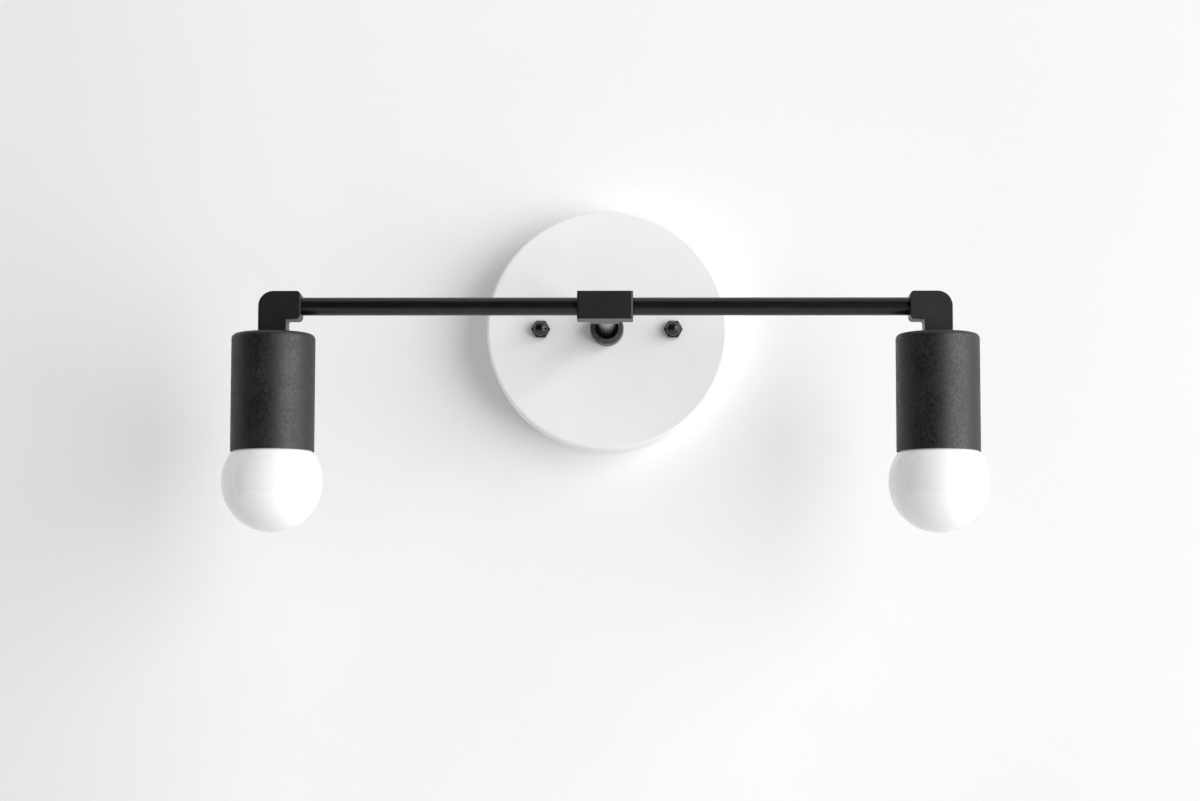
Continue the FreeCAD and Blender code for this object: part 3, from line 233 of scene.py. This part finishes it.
def fitting_black():
    """Satin black paint on machined brass: fine grain, slightly paler edges."""
    return coated("fitting_black", dark=(0.005, 0.005, 0.0053), light=(0.008, 0.008, 0.0084),
                  patch=9 * MM, rough=(0.36, 0.48), grain=0.35 * MM, depth=0.006 * MM,
                  wear=(0.045, 0.044, 0.043), Specular_IOR_Level=0.5)


TUBE_CLOUD = 14 * MM
TUBE_MARK = 0.5 * MM
TUBE_MARK_STRETCH = (0.03, 1.0, 1.0)
TUBE_MARK_DEPTH = 0.004 * MM
TUBE_ROUGH = (0.26, 0.4)


def tube_black():
    """Satin black tube: smoother, with faint drawing marks along it."""
    finish = Finish("tube_black", Specular_IOR_Level=0.4)
    cloud = finish.spread(finish.noise(TUBE_CLOUD, detail=4.0), *CRISP)
    colour = finish.mix(cloud, (0.0015, 0.0015, 0.0017), (0.003, 0.003, 0.0032))
    marks = finish.noise(TUBE_MARK, where=finish.stretched(TUBE_MARK_STRETCH))
    finish.set(Base_Color=colour, Roughness=finish.spread(marks, *SOFT, *TUBE_ROUGH))
    finish.bump(marks, TUBE_MARK_DEPTH)
    return finish.material


def stem_black():
    """Black tube like the arms, but glossier."""
    return coated("stem_black", dark=(0.003, 0.003, 0.0033), light=(0.006, 0.006, 0.0064),
                  patch=9 * MM, rough=(0.1, 0.17), grain=0.6 * MM, depth=0.003 * MM,
                  Specular_IOR_Level=0.5)


def collar_black():
    """Blackened turned steel: greyer than the painted fittings, and mottled finely."""
    return coated("collar_black", dark=grey(0.045), light=grey(0.07),
                  patch=1.6 * MM, rough=(0.4, 0.55), grain=0.4 * MM, depth=0.02 * MM,
                  wear=(0.11, 0.108, 0.105), Specular_IOR_Level=0.5)


CUP_BLOTCH = 16 * MM
CUP_MOTTLE = 1.6 * MM
CUP_MOTTLE_SHARE = 0.45
CUP_MARKED = 9 * MM         # size of the patches that have specks and scuffs
CUP_MARK_SHARE = 0.6
CUP_SPECK = 0.45 * MM
CUP_SCUFF = 0.6 * MM
CUP_SCUFF_STRETCH = (1.0, 1.0, 0.14)
CUP_EDGE = 0.4 * MM
CUP_GRAIN = 0.35 * MM
CUP_BUMP = 0.022 * MM
CUP_ROUGH = (0.44, 0.62)


def cup_charcoal():
    """Matte charcoal powder coat: mottled, with pale specks and short scuffs, rubbed at its
    edges."""
    finish = Finish("cup_charcoal", Specular_IOR_Level=0.55)
    broad = finish.spread(finish.noise(CUP_BLOTCH, detail=5.0, rough=0.6), *CRISP)
    small = finish.spread(finish.noise(CUP_MOTTLE, detail=5.0, rough=0.65), *MEDIUM)
    colour = finish.mix(broad, (0.003, 0.003, 0.0032), (0.006, 0.0059, 0.0058))
    mottled = finish.maths("MULTIPLY", small, CUP_MOTTLE_SHARE)
    colour = finish.mix(mottled, colour, (0.018, 0.0177, 0.0174))
    patch = finish.spread(finish.noise(CUP_MARKED), 0.42, 0.62)
    specks = finish.spread(finish.noise(CUP_SPECK, rough=0.6), 0.6, 0.72)
    scratches = finish.noise(CUP_SCUFF, where=finish.stretched(CUP_SCUFF_STRETCH))
    scuffs = finish.spread(scratches, 0.62, 0.74)
    marks = finish.maths("MULTIPLY", finish.maths("MAXIMUM", specks, scuffs), patch)
    marked = finish.maths("MULTIPLY", marks, CUP_MARK_SHARE)
    colour = finish.mix(marked, colour, (0.10, 0.098, 0.095))
    rubbed = finish.maths("MULTIPLY", finish.edges(CUP_EDGE),
                          finish.spread(small, 0.4, 0.8, to_low=0.2, to_high=0.8))
    colour = finish.mix(rubbed, colour, (0.08, 0.077, 0.074))
    fine = finish.noise(CUP_GRAIN)
    dullness = finish.maths("ADD", finish.maths("MULTIPLY", small, 0.7),
                            finish.maths("MULTIPLY", broad, 0.3))
    finish.set(Base_Color=colour, Roughness=finish.spread(dullness, 0.1, 0.9, *CUP_ROUGH))
    finish.bump(finish.maths("ADD", fine, small), CUP_BUMP)
    return finish.material


def nut_black():
    """Glossy black nuts, worn on the corners."""
    return coated("nut_black", dark=(0.006, 0.006, 0.007), light=(0.011, 0.011, 0.012),
                  patch=4 * MM, rough=(0.1, 0.2), grain=0.5 * MM, depth=0.004 * MM,
                  wear=(0.03, 0.029, 0.028), Specular_IOR_Level=0.45)


def zinc_steel():
    """Zinc-plated sheet and screws."""
    return plated("zinc_steel", dark=(0.46, 0.46, 0.45), light=(0.66, 0.66, 0.64),
                  patch=6 * MM, rough=(0.28, 0.46), scratch=0.4 * MM, depth=0.01 * MM,
                  worn=(0.78, 0.78, 0.77))


def brass():
    """Yellow brass of contacts and terminal screws."""
    return plated("brass", dark=(0.58, 0.40, 0.15), light=(0.76, 0.57, 0.26),
                  patch=5 * MM, rough=(0.22, 0.4), scratch=0.3 * MM, depth=0.006 * MM,
                  worn=(0.86, 0.70, 0.38))


def nickel():
    """Nickel plate, a little warm."""
    return plated("nickel", dark=(0.50, 0.49, 0.46), light=(0.66, 0.65, 0.61),
                  patch=5 * MM, rough=(0.16, 0.32), scratch=0.3 * MM, depth=0.005 * MM,
                  worn=(0.76, 0.75, 0.72))


def solder():
    """Dull solder, lumpy."""
    return plated("solder", dark=(0.40, 0.40, 0.40), light=(0.62, 0.62, 0.61),
                  patch=2 * MM, rough=(0.3, 0.5), scratch=0.6 * MM, depth=0.05 * MM)


def filament_metal():
    """Dark drawn wire."""
    return plated("filament_metal", dark=(0.20, 0.20, 0.21), light=(0.36, 0.36, 0.37),
                  patch=3 * MM, rough=(0.35, 0.5), scratch=0.3 * MM, depth=0.004 * MM)


def ground_green():
    """Dyed green screw."""
    return coated("ground_green", dark=(0.012, 0.16, 0.045), light=(0.03, 0.26, 0.08),
                  patch=2 * MM, rough=(0.25, 0.4), grain=0.4 * MM, depth=0.008 * MM,
                  wear=(0.45, 0.46, 0.40), Metallic=0.6)


def porcelain():
    """White glazed porcelain, unglazed and duller in its fine pits."""
    return coated("porcelain", dark=(0.76, 0.75, 0.71), light=(0.84, 0.83, 0.80),
                  patch=12 * MM, rough=(0.12, 0.3), grain=1.1 * MM, depth=0.02 * MM,
                  wear=(0.62, 0.60, 0.56), Coat_Weight=0.3)


GLASS_IOR = 1.5
OPAL_CLOUD = 22 * MM
OPAL_RIPPLE = 6 * MM
OPAL_RIPPLE_DEPTH = 0.01 * MM
OPAL_ROUGH = (0.03, 0.06)
GLASS_SEED = 3 * MM
GLASS_SEED_DEPTH = 0.02 * MM


def opal_glass():
    """Milk-white glass: even, glossy, with the faintest clouding."""
    finish = Finish("opal_glass", IOR=GLASS_IOR)
    cloud = finish.spread(finish.noise(OPAL_CLOUD), *MEDIUM)
    colour = finish.mix(cloud, grey(0.93), (0.96, 0.96, 0.955))
    ripple = finish.noise(OPAL_RIPPLE, detail=2.0)
    finish.set(Base_Color=colour, Roughness=finish.spread(ripple, *SOFTEST, *OPAL_ROUGH))
    finish.bump(ripple, OPAL_RIPPLE_DEPTH)
    return finish.material


def clear_glass():
    """Clear glass with a faint green and soft seeds."""
    finish = Finish("clear_glass", IOR=GLASS_IOR, Transmission_Weight=1.0)
    seeds = finish.noise(GLASS_SEED)
    colour = finish.mix(seeds, (0.93, 0.95, 0.94), grey(1.0))
    finish.set(Base_Color=colour,
               Roughness=finish.spread(seeds, 0.3, 0.8, to_low=0.0, to_high=0.04))
    finish.bump(seeds, GLASS_SEED_DEPTH)
    return finish.material


def insulator_black():
    """Black glass of the bulb's foot."""
    return coated("insulator_black", dark=(0.010, 0.009, 0.012), light=(0.022, 0.020, 0.026),
                  patch=3 * MM, rough=(0.08, 0.2), grain=0.8 * MM, depth=0.02 * MM)


def connector_orange():
    """Moulded orange plastic."""
    return coated("connector_orange", dark=(0.70, 0.17, 0.015), light=(0.80, 0.24, 0.03),
                  patch=7 * MM, rough=(0.3, 0.45), grain=0.5 * MM, depth=0.01 * MM,
                  wear=(0.88, 0.42, 0.16))


COPPER = (0.78, 0.36, 0.18)
DULL_COPPER = tuple(0.6 * part for part in COPPER)
COPPER_ROUGH = (0.32, 0.46)
WIRE_CLOUD = 8 * MM
WIRE_STRAND = 0.25 * MM
WIRE_STRAND_DEPTH = 0.006 * MM
LAMP_X = 164.8 * MM
AXIS_Y = -120.0 * MM
BARE_ASIDE = 3.6 * MM       # a wire is bare further than this from its lamp's axis, along Y,
BARE_INWARD = 12 * MM       # and out from this far inside the axis, along X
BARE_GROUND_Y = -6.95 * MM  # the ground wire is bare behind this plane


def insulation(name, dark, light, bare):
    """Wire insulation with its bare copper end, where bare gives the end's mask."""
    finish = Finish(name)
    cloud = finish.spread(finish.noise(WIRE_CLOUD), *MEDIUM)
    colour = finish.mix(cloud, dark, light)
    mask = bare(finish, finish.add("ShaderNodeSeparateXYZ", Vector=finish.place).outputs)
    strands = finish.noise(WIRE_STRAND, detail=2.0)
    copper = finish.mix(strands, DULL_COPPER, COPPER)
    finish.set(Base_Color=finish.mix(mask, colour, copper), Metallic=mask,
               Roughness=finish.spread(strands, *SOFTEST, *COPPER_ROUGH))
    finish.bump(strands, WIRE_STRAND_DEPTH)
    return finish.material


def at_terminal(finish, axes):
    """The bare end in a lamp: beside the lamp's axis, out at the lamps."""
    beside = finish.maths("ABSOLUTE", finish.maths("SUBTRACT", axes["Y"], AXIS_Y), 0.0)
    aside = finish.maths("GREATER_THAN", beside, BARE_ASIDE)
    from_middle = finish.maths("ABSOLUTE", axes["X"], 0.0)
    out = finish.maths("GREATER_THAN", from_middle, LAMP_X - BARE_INWARD)
    return finish.maths("MULTIPLY", aside, out)


def at_strap(finish, axes):
    """The ground wire's bare end: close to the wall."""
    return finish.maths("GREATER_THAN", axes["Y"], BARE_GROUND_Y)


def wire_black():
    return insulation("wire_black", (0.012, 0.012, 0.013), (0.025, 0.025, 0.026), at_terminal)


def wire_white():
    return insulation("wire_white", (0.66, 0.65, 0.62), (0.76, 0.75, 0.73), at_terminal)


def wire_green():
    return insulation("wire_green", (0.015, 0.17, 0.04), (0.025, 0.25, 0.065), at_strap)


FINISHES = (canopy_white, fitting_black, tube_black, stem_black, collar_black, cup_charcoal,
            nut_black, zinc_steel, brass, nickel, solder, filament_metal, ground_green, porcelain,
            opal_glass, clear_glass, insulator_black, connector_orange, wire_black, wire_white,
            wire_green)
OWN_FINISH = {"stem": "stem_black", "stem_collar": "collar_black"}


def dress_nodes(finishes):
    """Give every CAD node the finish of its material slot, or its own where the photograph
    differs."""
    for part in frame["record"]["subparts"]:
        name = OWN_FINISH.get(part["node"], part["material_slot"])
        for slot in NODES[part["node"]].material_slots:
            slot.material = finishes[name]


# ---- pieces that get more detail than their solids ----

def new_piece(name, points, faces, finish, body, replaced):
    mesh = bpy.data.meshes.new(name)
    mesh.from_pydata([tuple(point) for point in points], [], faces)
    mesh.validate()
    cleaner = bmesh.new()
    cleaner.from_mesh(mesh)
    bmesh.ops.recalc_face_normals(cleaner, faces=cleaner.faces)
    cleaner.to_mesh(mesh)
    cleaner.free()
    mesh.polygons.foreach_set("use_smooth", [True] * len(mesh.polygons))
    mesh.materials.append(finish)
    piece = bpy.data.objects.new(name, mesh)
    bpy.context.scene.collection.objects.link(piece)
    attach(piece, body)
    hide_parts(*replaced)


def closed_rows(rows):
    """Points and faces of a surface through closed rings; where the last ring repeats the first,
    the surface closes on itself."""
    points = [point for row in rows for point in row]
    count = len(rows[0])
    faces = []
    for number in range(len(rows) - 1):
        for k in range(count):
            after = (k + 1) % count
            faces.append((number * count + k, number * count + after,
                          (number + 1) * count + after, (number + 1) * count + k))
    return points, faces


def add_capped(points, faces, rows):
    """Add a surface through closed rings, with its first and last rings filled."""
    new_points, new_faces = closed_rows(rows)
    shift, count, total = len(points), len(rows[0]), len(new_points)
    new_faces += [tuple(range(count)), tuple(range(total - count, total))]
    points += new_points
    faces += [tuple(k + shift for k in face) for face in new_faces]


def ring_row(place, radius, along, count, lift=None):
    """One ring round the Z axis of place, at that height along it; lift changes its radius by
    angle."""
    row = []
    for k in range(count):
        angle = 2 * math.pi * k / count
        r = radius + (lift(angle) if lift else 0.0)
        row.append(place @ Vector((r * math.cos(angle), r * math.sin(angle), along)))
    return row


def thread_lift(along, angle, pitch, height, start, end, fade):
    """Height of a rounded helical thread at a place on a cylinder, running out at both ends."""
    wave = 0.5 - 0.5 * math.cos(2 * math.pi * (along / pitch - angle / (2 * math.pi)))
    run_out = min(1.0, max(0.0, (along - start) / fade), max(0.0, (end - along) / fade))
    return height * wave * run_out


def make_bulb_base(side, finish):
    """The bulb's screw base as rolled sheet with a helical thread and a turned-in shoulder."""
    node = f"{side}_bulb_base_shell"
    low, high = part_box(node)
    centre = (low + high) / 2
    outer = (high.x - low.x) / 2
    length = high.z - low.z
    place = Matrix.Translation((centre.x, centre.y, low.z))
    pitch, swell, sheet = 3.63 * MM, 0.75 * MM, 0.4 * MM
    root = outer - swell
    start, end, fade = 3.4 * MM, length - 1.3 * MM, 1.6 * MM
    shoulder = 0.9 * MM
    count, steps = 96, 120
    outside, inside = [], []
    for step in range(steps + 1):
        along = length * step / steps
        into = max(0.0, along - (length - shoulder)) / shoulder
        drawn_in = shoulder * (1 - math.sqrt(max(0.0, 1 - into * into)))

        def lift(angle, along=along):
            return thread_lift(along, angle, pitch, swell, start, end, fade)

        outside.append(ring_row(place, root - drawn_in, along, count, lift))
        inside.append(ring_row(place, root - sheet - drawn_in, along, count, lift))
    rows = outside + inside[::-1]
    rows.append(rows[0])
    points, faces = closed_rows(rows)
    new_piece(f"{side}_bulb_screw_base", points, faces, finish, f"{side}_bulb", [node])


def make_studs(finish):
    """The two No. 8-32 studs with their threads cut and their ends chamfered."""
    node = "canopy_studs"
    low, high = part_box(node)
    radius = (high.z - low.z) / 2
    length = high.y - low.y
    pitch, depth, chamfer = 0.794 * MM, 0.36 * MM, 0.4 * MM
    count, per_turn = 20, 6
    steps = int(length / pitch * per_turn)
    points, faces = [], []
    for centre_x in (low.x + radius, high.x - radius):
        place = (Matrix.Translation((centre_x, high.y, (low.z + high.z) / 2))
                 @ Matrix.Rotation(math.radians(90), 4, "X"))
        rows = []
        for step in range(steps + 1):
            along = length * step / steps
            edge = max(0.0, chamfer - along, along - (length - chamfer))

            def lift(angle, along=along):
                return thread_lift(along, angle, pitch, depth, -pitch, length + pitch, pitch)

            rows.append(ring_row(place, radius - depth - edge, along, count, lift))
        add_capped(points, faces, rows)
    new_piece("threaded_studs", points, faces, finish, "fixture", [node])


SKIRT = 3.2                 # millimetres from the mouth to where the flutes begin
FLUTE_RUN_IN = 1.6          # millimetres
FLUTE_DEPTH = 0.42 * MM
FLUTE_SHARPNESS = 0.7
SIDE_PACE, SIDE_STEPS = 0.8, 16     # millimetres from ring to ring up the fluted side
SIDE_END = 16.0 * MM
ROUNDED_LIP = [(0.35, 0.0), (0.1, 0.25), (0.0, 0.7)]    # millimetres: drawn in, along
DOME_STEPS, DOME_FULLNESS, DOME_LEAST = 8, 0.6, 0.02
BORE_LEAD_IN, BORE_LIP = 0.25 * MM, 0.4 * MM
BORE_TAPER, BORE_DEPTH = 0.86, 12.0 * MM


def make_connectors(finish):
    """The two twist-on connectors: fluted sides, a domed closed end and an open mouth."""
    node = "wire_connectors"
    low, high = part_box(node)
    mouth, tip, bore = 5.5 * MM, 3.8 * MM, 2.9 * MM
    length = high.z - low.z
    flutes, count = 14, 112
    side = [(0.0, SKIRT)] + [(0.0, SKIRT + SIDE_PACE * k) for k in range(1, SIDE_STEPS + 1)]
    points, faces = [], []
    for centre_x, centre_y in ((low.x + mouth, low.y + mouth), (high.x - mouth, high.y - mouth)):
        place = (Matrix.Translation((centre_x, centre_y, high.z))
                 @ Matrix.Rotation(math.pi, 4, "X"))
        rows = [ring_row(place, bore * BORE_TAPER, BORE_DEPTH, count),
                ring_row(place, bore, BORE_LIP, count),
                ring_row(place, bore + BORE_LEAD_IN, 0.0, count)]
        for inset, along_mm in ROUNDED_LIP + side:
            along = along_mm * MM
            radius = mouth + (tip - mouth) * along / length - inset * MM
            cut = min(1.0, max(0.0, (along_mm - SKIRT) / FLUTE_RUN_IN)) * FLUTE_DEPTH

            def lift(angle, cut=cut):
                return -cut * (0.5 + 0.5 * math.cos(flutes * angle)) ** FLUTE_SHARPNESS

            rows.append(ring_row(place, radius, along, count, lift))
        last = rows[-1]
        centre = place @ Vector((0, 0, SIDE_END))
        for k in range(1, DOME_STEPS + 1):
            turn = math.pi / 2 * k / DOME_STEPS
            shrink = max(math.cos(turn) ** DOME_FULLNESS, DOME_LEAST)
            reach = math.sin(turn) * (length - SIDE_END)
            middle = place @ Vector((0, 0, SIDE_END + reach))
            rows.append([middle + (point - centre) * shrink for point in last])
        add_capped(points, faces, rows)
    new_piece("twist_connectors", points, faces, finish, "fixture", [node])


# ---- wall, world and lamps ----

WALL_REACH = 6.0
WALL_FADE = (1.1, 2.0)      # from the origin: where the wall starts to fade to white, and is gone
HOLE_RADIUS = 62.2 * MM
HOLE_POINTS = 96
PAINTED_SHADE_LEFT_X = (-0.33, -0.16)    # painted shade: the wall's colour is darker at the left end and paler inwards along X here, painted shade: a little darker again towards the window on the right here, and painted shade: a little darker upwards here
PAINTED_SHADE_RIGHT_X = (0.05, 0.25)     # a little back again here,
PAINTED_SHADE_TOP_Z = (0.0, 0.16)      # and a little darker upwards here
PAINTED_SHADE_TOP_SHARE = 0.5
WALL_BLOTCH = 0.14
WALL_BLOTCH_SHARE = 0.3
WALL_SPECKS_APART = 9 * MM
WALL_SPECKED = 60 * MM      # size of the patches that have specks
WALL_SPECK_SHARE = 0.25
ROLLER_GRAIN = 1.4 * MM
ROLLER_DEPTH = 0.05 * MM


def make_wall():
    """The white wall: a plane with a hole behind the canopy, seen from the room's side only, that
    fades into the white behind it far from the light."""
    ring, edge = [], []
    for k in range(HOLE_POINTS):
        angle = 2 * math.pi * k / HOLE_POINTS
        ring.append((HOLE_RADIUS * math.cos(angle), 0.0, HOLE_RADIUS * math.sin(angle)))
        far = WALL_REACH / max(abs(math.cos(angle)), abs(math.sin(angle)))
        edge.append((far * math.cos(angle), 0.0, far * math.sin(angle)))
    faces = []
    for k in range(HOLE_POINTS):
        after = (k + 1) % HOLE_POINTS
        faces.append((k, after, HOLE_POINTS + after, HOLE_POINTS + k))
    mesh = bpy.data.meshes.new("wall")
    mesh.from_pydata(ring + edge, [], faces)
    wall = bpy.data.objects.new("wall", mesh)
    bpy.context.scene.collection.objects.link(wall)
    mesh.update()
    if mesh.polygons[0].normal.y > 0:
        mesh.flip_normals()
    mesh.materials.append(wall_paint())


def wall_paint():
    """White wall paint: broad uneven tone, painted shade darker at the left end, towards the right
    and upwards, scattered specks and a roller's grain; clear from behind and far from the light."""
    paint = Finish("wall_paint", Roughness=0.7, Specular_IOR_Level=0.2)
    broad = paint.spread(paint.noise(WALL_BLOTCH, detail=4.0, rough=0.6), *MEDIUM)
    axes = paint.add("ShaderNodeSeparateXYZ", Vector=paint.place).outputs
    # painted shade: the colour darkens at the left end, towards the right and upwards, by place on
    # the wall, standing in for how the light falls
    tone = paint.mix(paint.spread(axes["X"], *PAINTED_SHADE_LEFT_X), grey(0.84), grey(0.96))
    tone = paint.mix(paint.spread(axes["X"], *PAINTED_SHADE_RIGHT_X), tone, grey(0.90))
    painted_shade_top = paint.maths("MULTIPLY", paint.spread(axes["Z"], *PAINTED_SHADE_TOP_Z), PAINTED_SHADE_TOP_SHARE)
    tone = paint.mix(painted_shade_top, tone, grey(0.86))
    colour = paint.mix(paint.maths("MULTIPLY", broad, WALL_BLOTCH_SHARE), tone, grey(0.88))
    specks = paint.maths("MULTIPLY", paint.spread(paint.cells(WALL_SPECKS_APART), 0.05, 0.02),
                         paint.spread(paint.noise(WALL_SPECKED), 0.55, 0.7))
    colour = paint.mix(paint.maths("MULTIPLY", specks, WALL_SPECK_SHARE), colour, grey(0.6))
    paint.set(Base_Color=colour)
    paint.bump(paint.noise(ROLLER_GRAIN, detail=4.0, rough=0.6), ROLLER_DEPTH)

    links = paint.tree.links
    clear = paint.add("ShaderNodeBsdfTransparent")
    either = paint.add("ShaderNodeMixShader")
    behind = paint.add("ShaderNodeNewGeometry").outputs["Backfacing"]
    away = paint.add("ShaderNodeVectorMath", {"operation": "LENGTH"}, Vector=paint.place)
    gone = paint.spread(away.outputs["Value"], *WALL_FADE)
    links.new(paint.maths("MAXIMUM", behind, gone), either.inputs[0])
    links.new(paint.shader.outputs[0], either.inputs[1])
    links.new(clear.outputs[0], either.inputs[2])
    links.new(either.outputs[0], paint.tree.nodes["Material Output"].inputs["Surface"])
    return paint.material


ROOM_LIGHT = 0.37


def make_world():
    """Soft room light; rays that see the room directly, in gloss or through glass see white."""
    world = bpy.data.worlds.new("room")
    bpy.context.scene.world = world
    world.use_nodes = True
    tree = world.node_tree
    soft = tree.nodes["Background"]
    soft.inputs["Color"].default_value = WHITE
    soft.inputs["Strength"].default_value = ROOM_LIGHT
    white = tree.nodes.new("ShaderNodeBackground")
    white.inputs["Color"].default_value = WHITE
    path = tree.nodes.new("ShaderNodeLightPath")
    seen = path.outputs["Is Camera Ray"]
    for name in ("Is Glossy Ray", "Is Transmission Ray"):
        either = tree.nodes.new("ShaderNodeMath")
        either.operation = "MAXIMUM"
        tree.links.new(seen, either.inputs[0])
        tree.links.new(path.outputs[name], either.inputs[1])
        seen = either.outputs[0]
    mix = tree.nodes.new("ShaderNodeMixShader")
    tree.links.new(seen, mix.inputs[0])
    tree.links.new(soft.outputs[0], mix.inputs[1])
    tree.links.new(white.outputs[0], mix.inputs[2])
    tree.links.new(mix.outputs[0], tree.nodes["World Output"].inputs["Surface"])


# On the floor plan a panel stands from start to end and faces the left of that way. It gives glow
# times the light of a white sky where it fills the view.
WINDOW = dict(start=(2.3, -5.4), end=(3.2, -0.5), low=-2.0, high=2.3, glow=3.65)
FILL = dict(start=(-2.3, -0.04), end=(-2.3, -0.8), low=-1.3, high=1.3, glow=1.5)


def make_panel(name, start, end, low, high, glow):
    start, end = Vector((*start, 0.0)), Vector((*end, 0.0))
    along = (end - start).normalized()
    data = bpy.data.lights.new(name, "AREA")
    data.shape = "RECTANGLE"
    data.size, data.size_y = (end - start).length, high - low
    data.energy = glow * math.pi * data.size * data.size_y
    lamp = bpy.data.objects.new(name, data)
    bpy.context.scene.collection.objects.link(lamp)
    lamp.location = (start + end) / 2 + Vector((0.0, 0.0, (low + high) / 2))
    lamp.rotation_mode = "QUATERNION"
    lamp.rotation_quaternion = Vector((-along.y, along.x, 0.0)).to_track_quat("-Z", "Y")
    lamp.visible_camera = False
    return lamp


def make_lamps():
    """A wide window to the right of the camera, and soft light coming back from the left."""
    make_panel("window", **WINDOW)
    make_panel("fill", **FILL).visible_glossy = False


CARD_CORNERS = ((-3.2, -0.35), (-3.2, -2.9), (1.2, -2.9))      # on the floor plan
CARD_LOW, CARD_HIGH = -1.4, 5.0


def make_dark_card():
    """The unlit side of the room, left of and behind the camera; only glossy surfaces see it."""
    points = [(x, y, z) for x, y in CARD_CORNERS for z in (CARD_LOW, CARD_HIGH)]
    mesh = bpy.data.meshes.new("dark_card")
    mesh.from_pydata(points, [], [(0, 2, 3, 1), (2, 4, 5, 3)])
    card = bpy.data.objects.new("dark_card", mesh)
    bpy.context.scene.collection.objects.link(card)
    cloth = Finish("card_cloth", Base_Color=(*grey(0.02), 1.0), Roughness=0.9,
                   Specular_IOR_Level=0.1)
    mesh.materials.append(cloth.material)
    card.visible_camera = card.visible_diffuse = card.visible_transmission = False
    card.visible_shadow = False


# ---- the scene ----

bpy.context.scene.view_settings.view_transform = "Standard"
make_camera()
finishes = {make.__name__: make() for make in FINISHES}
dress_nodes(finishes)
for side in SIDES:
    make_bulb_base(side, finishes["nickel"])
make_studs(finishes["zinc_steel"])
make_connectors(finishes["connector_orange"])
make_wall()
make_world()
make_lamps()
make_dark_card()
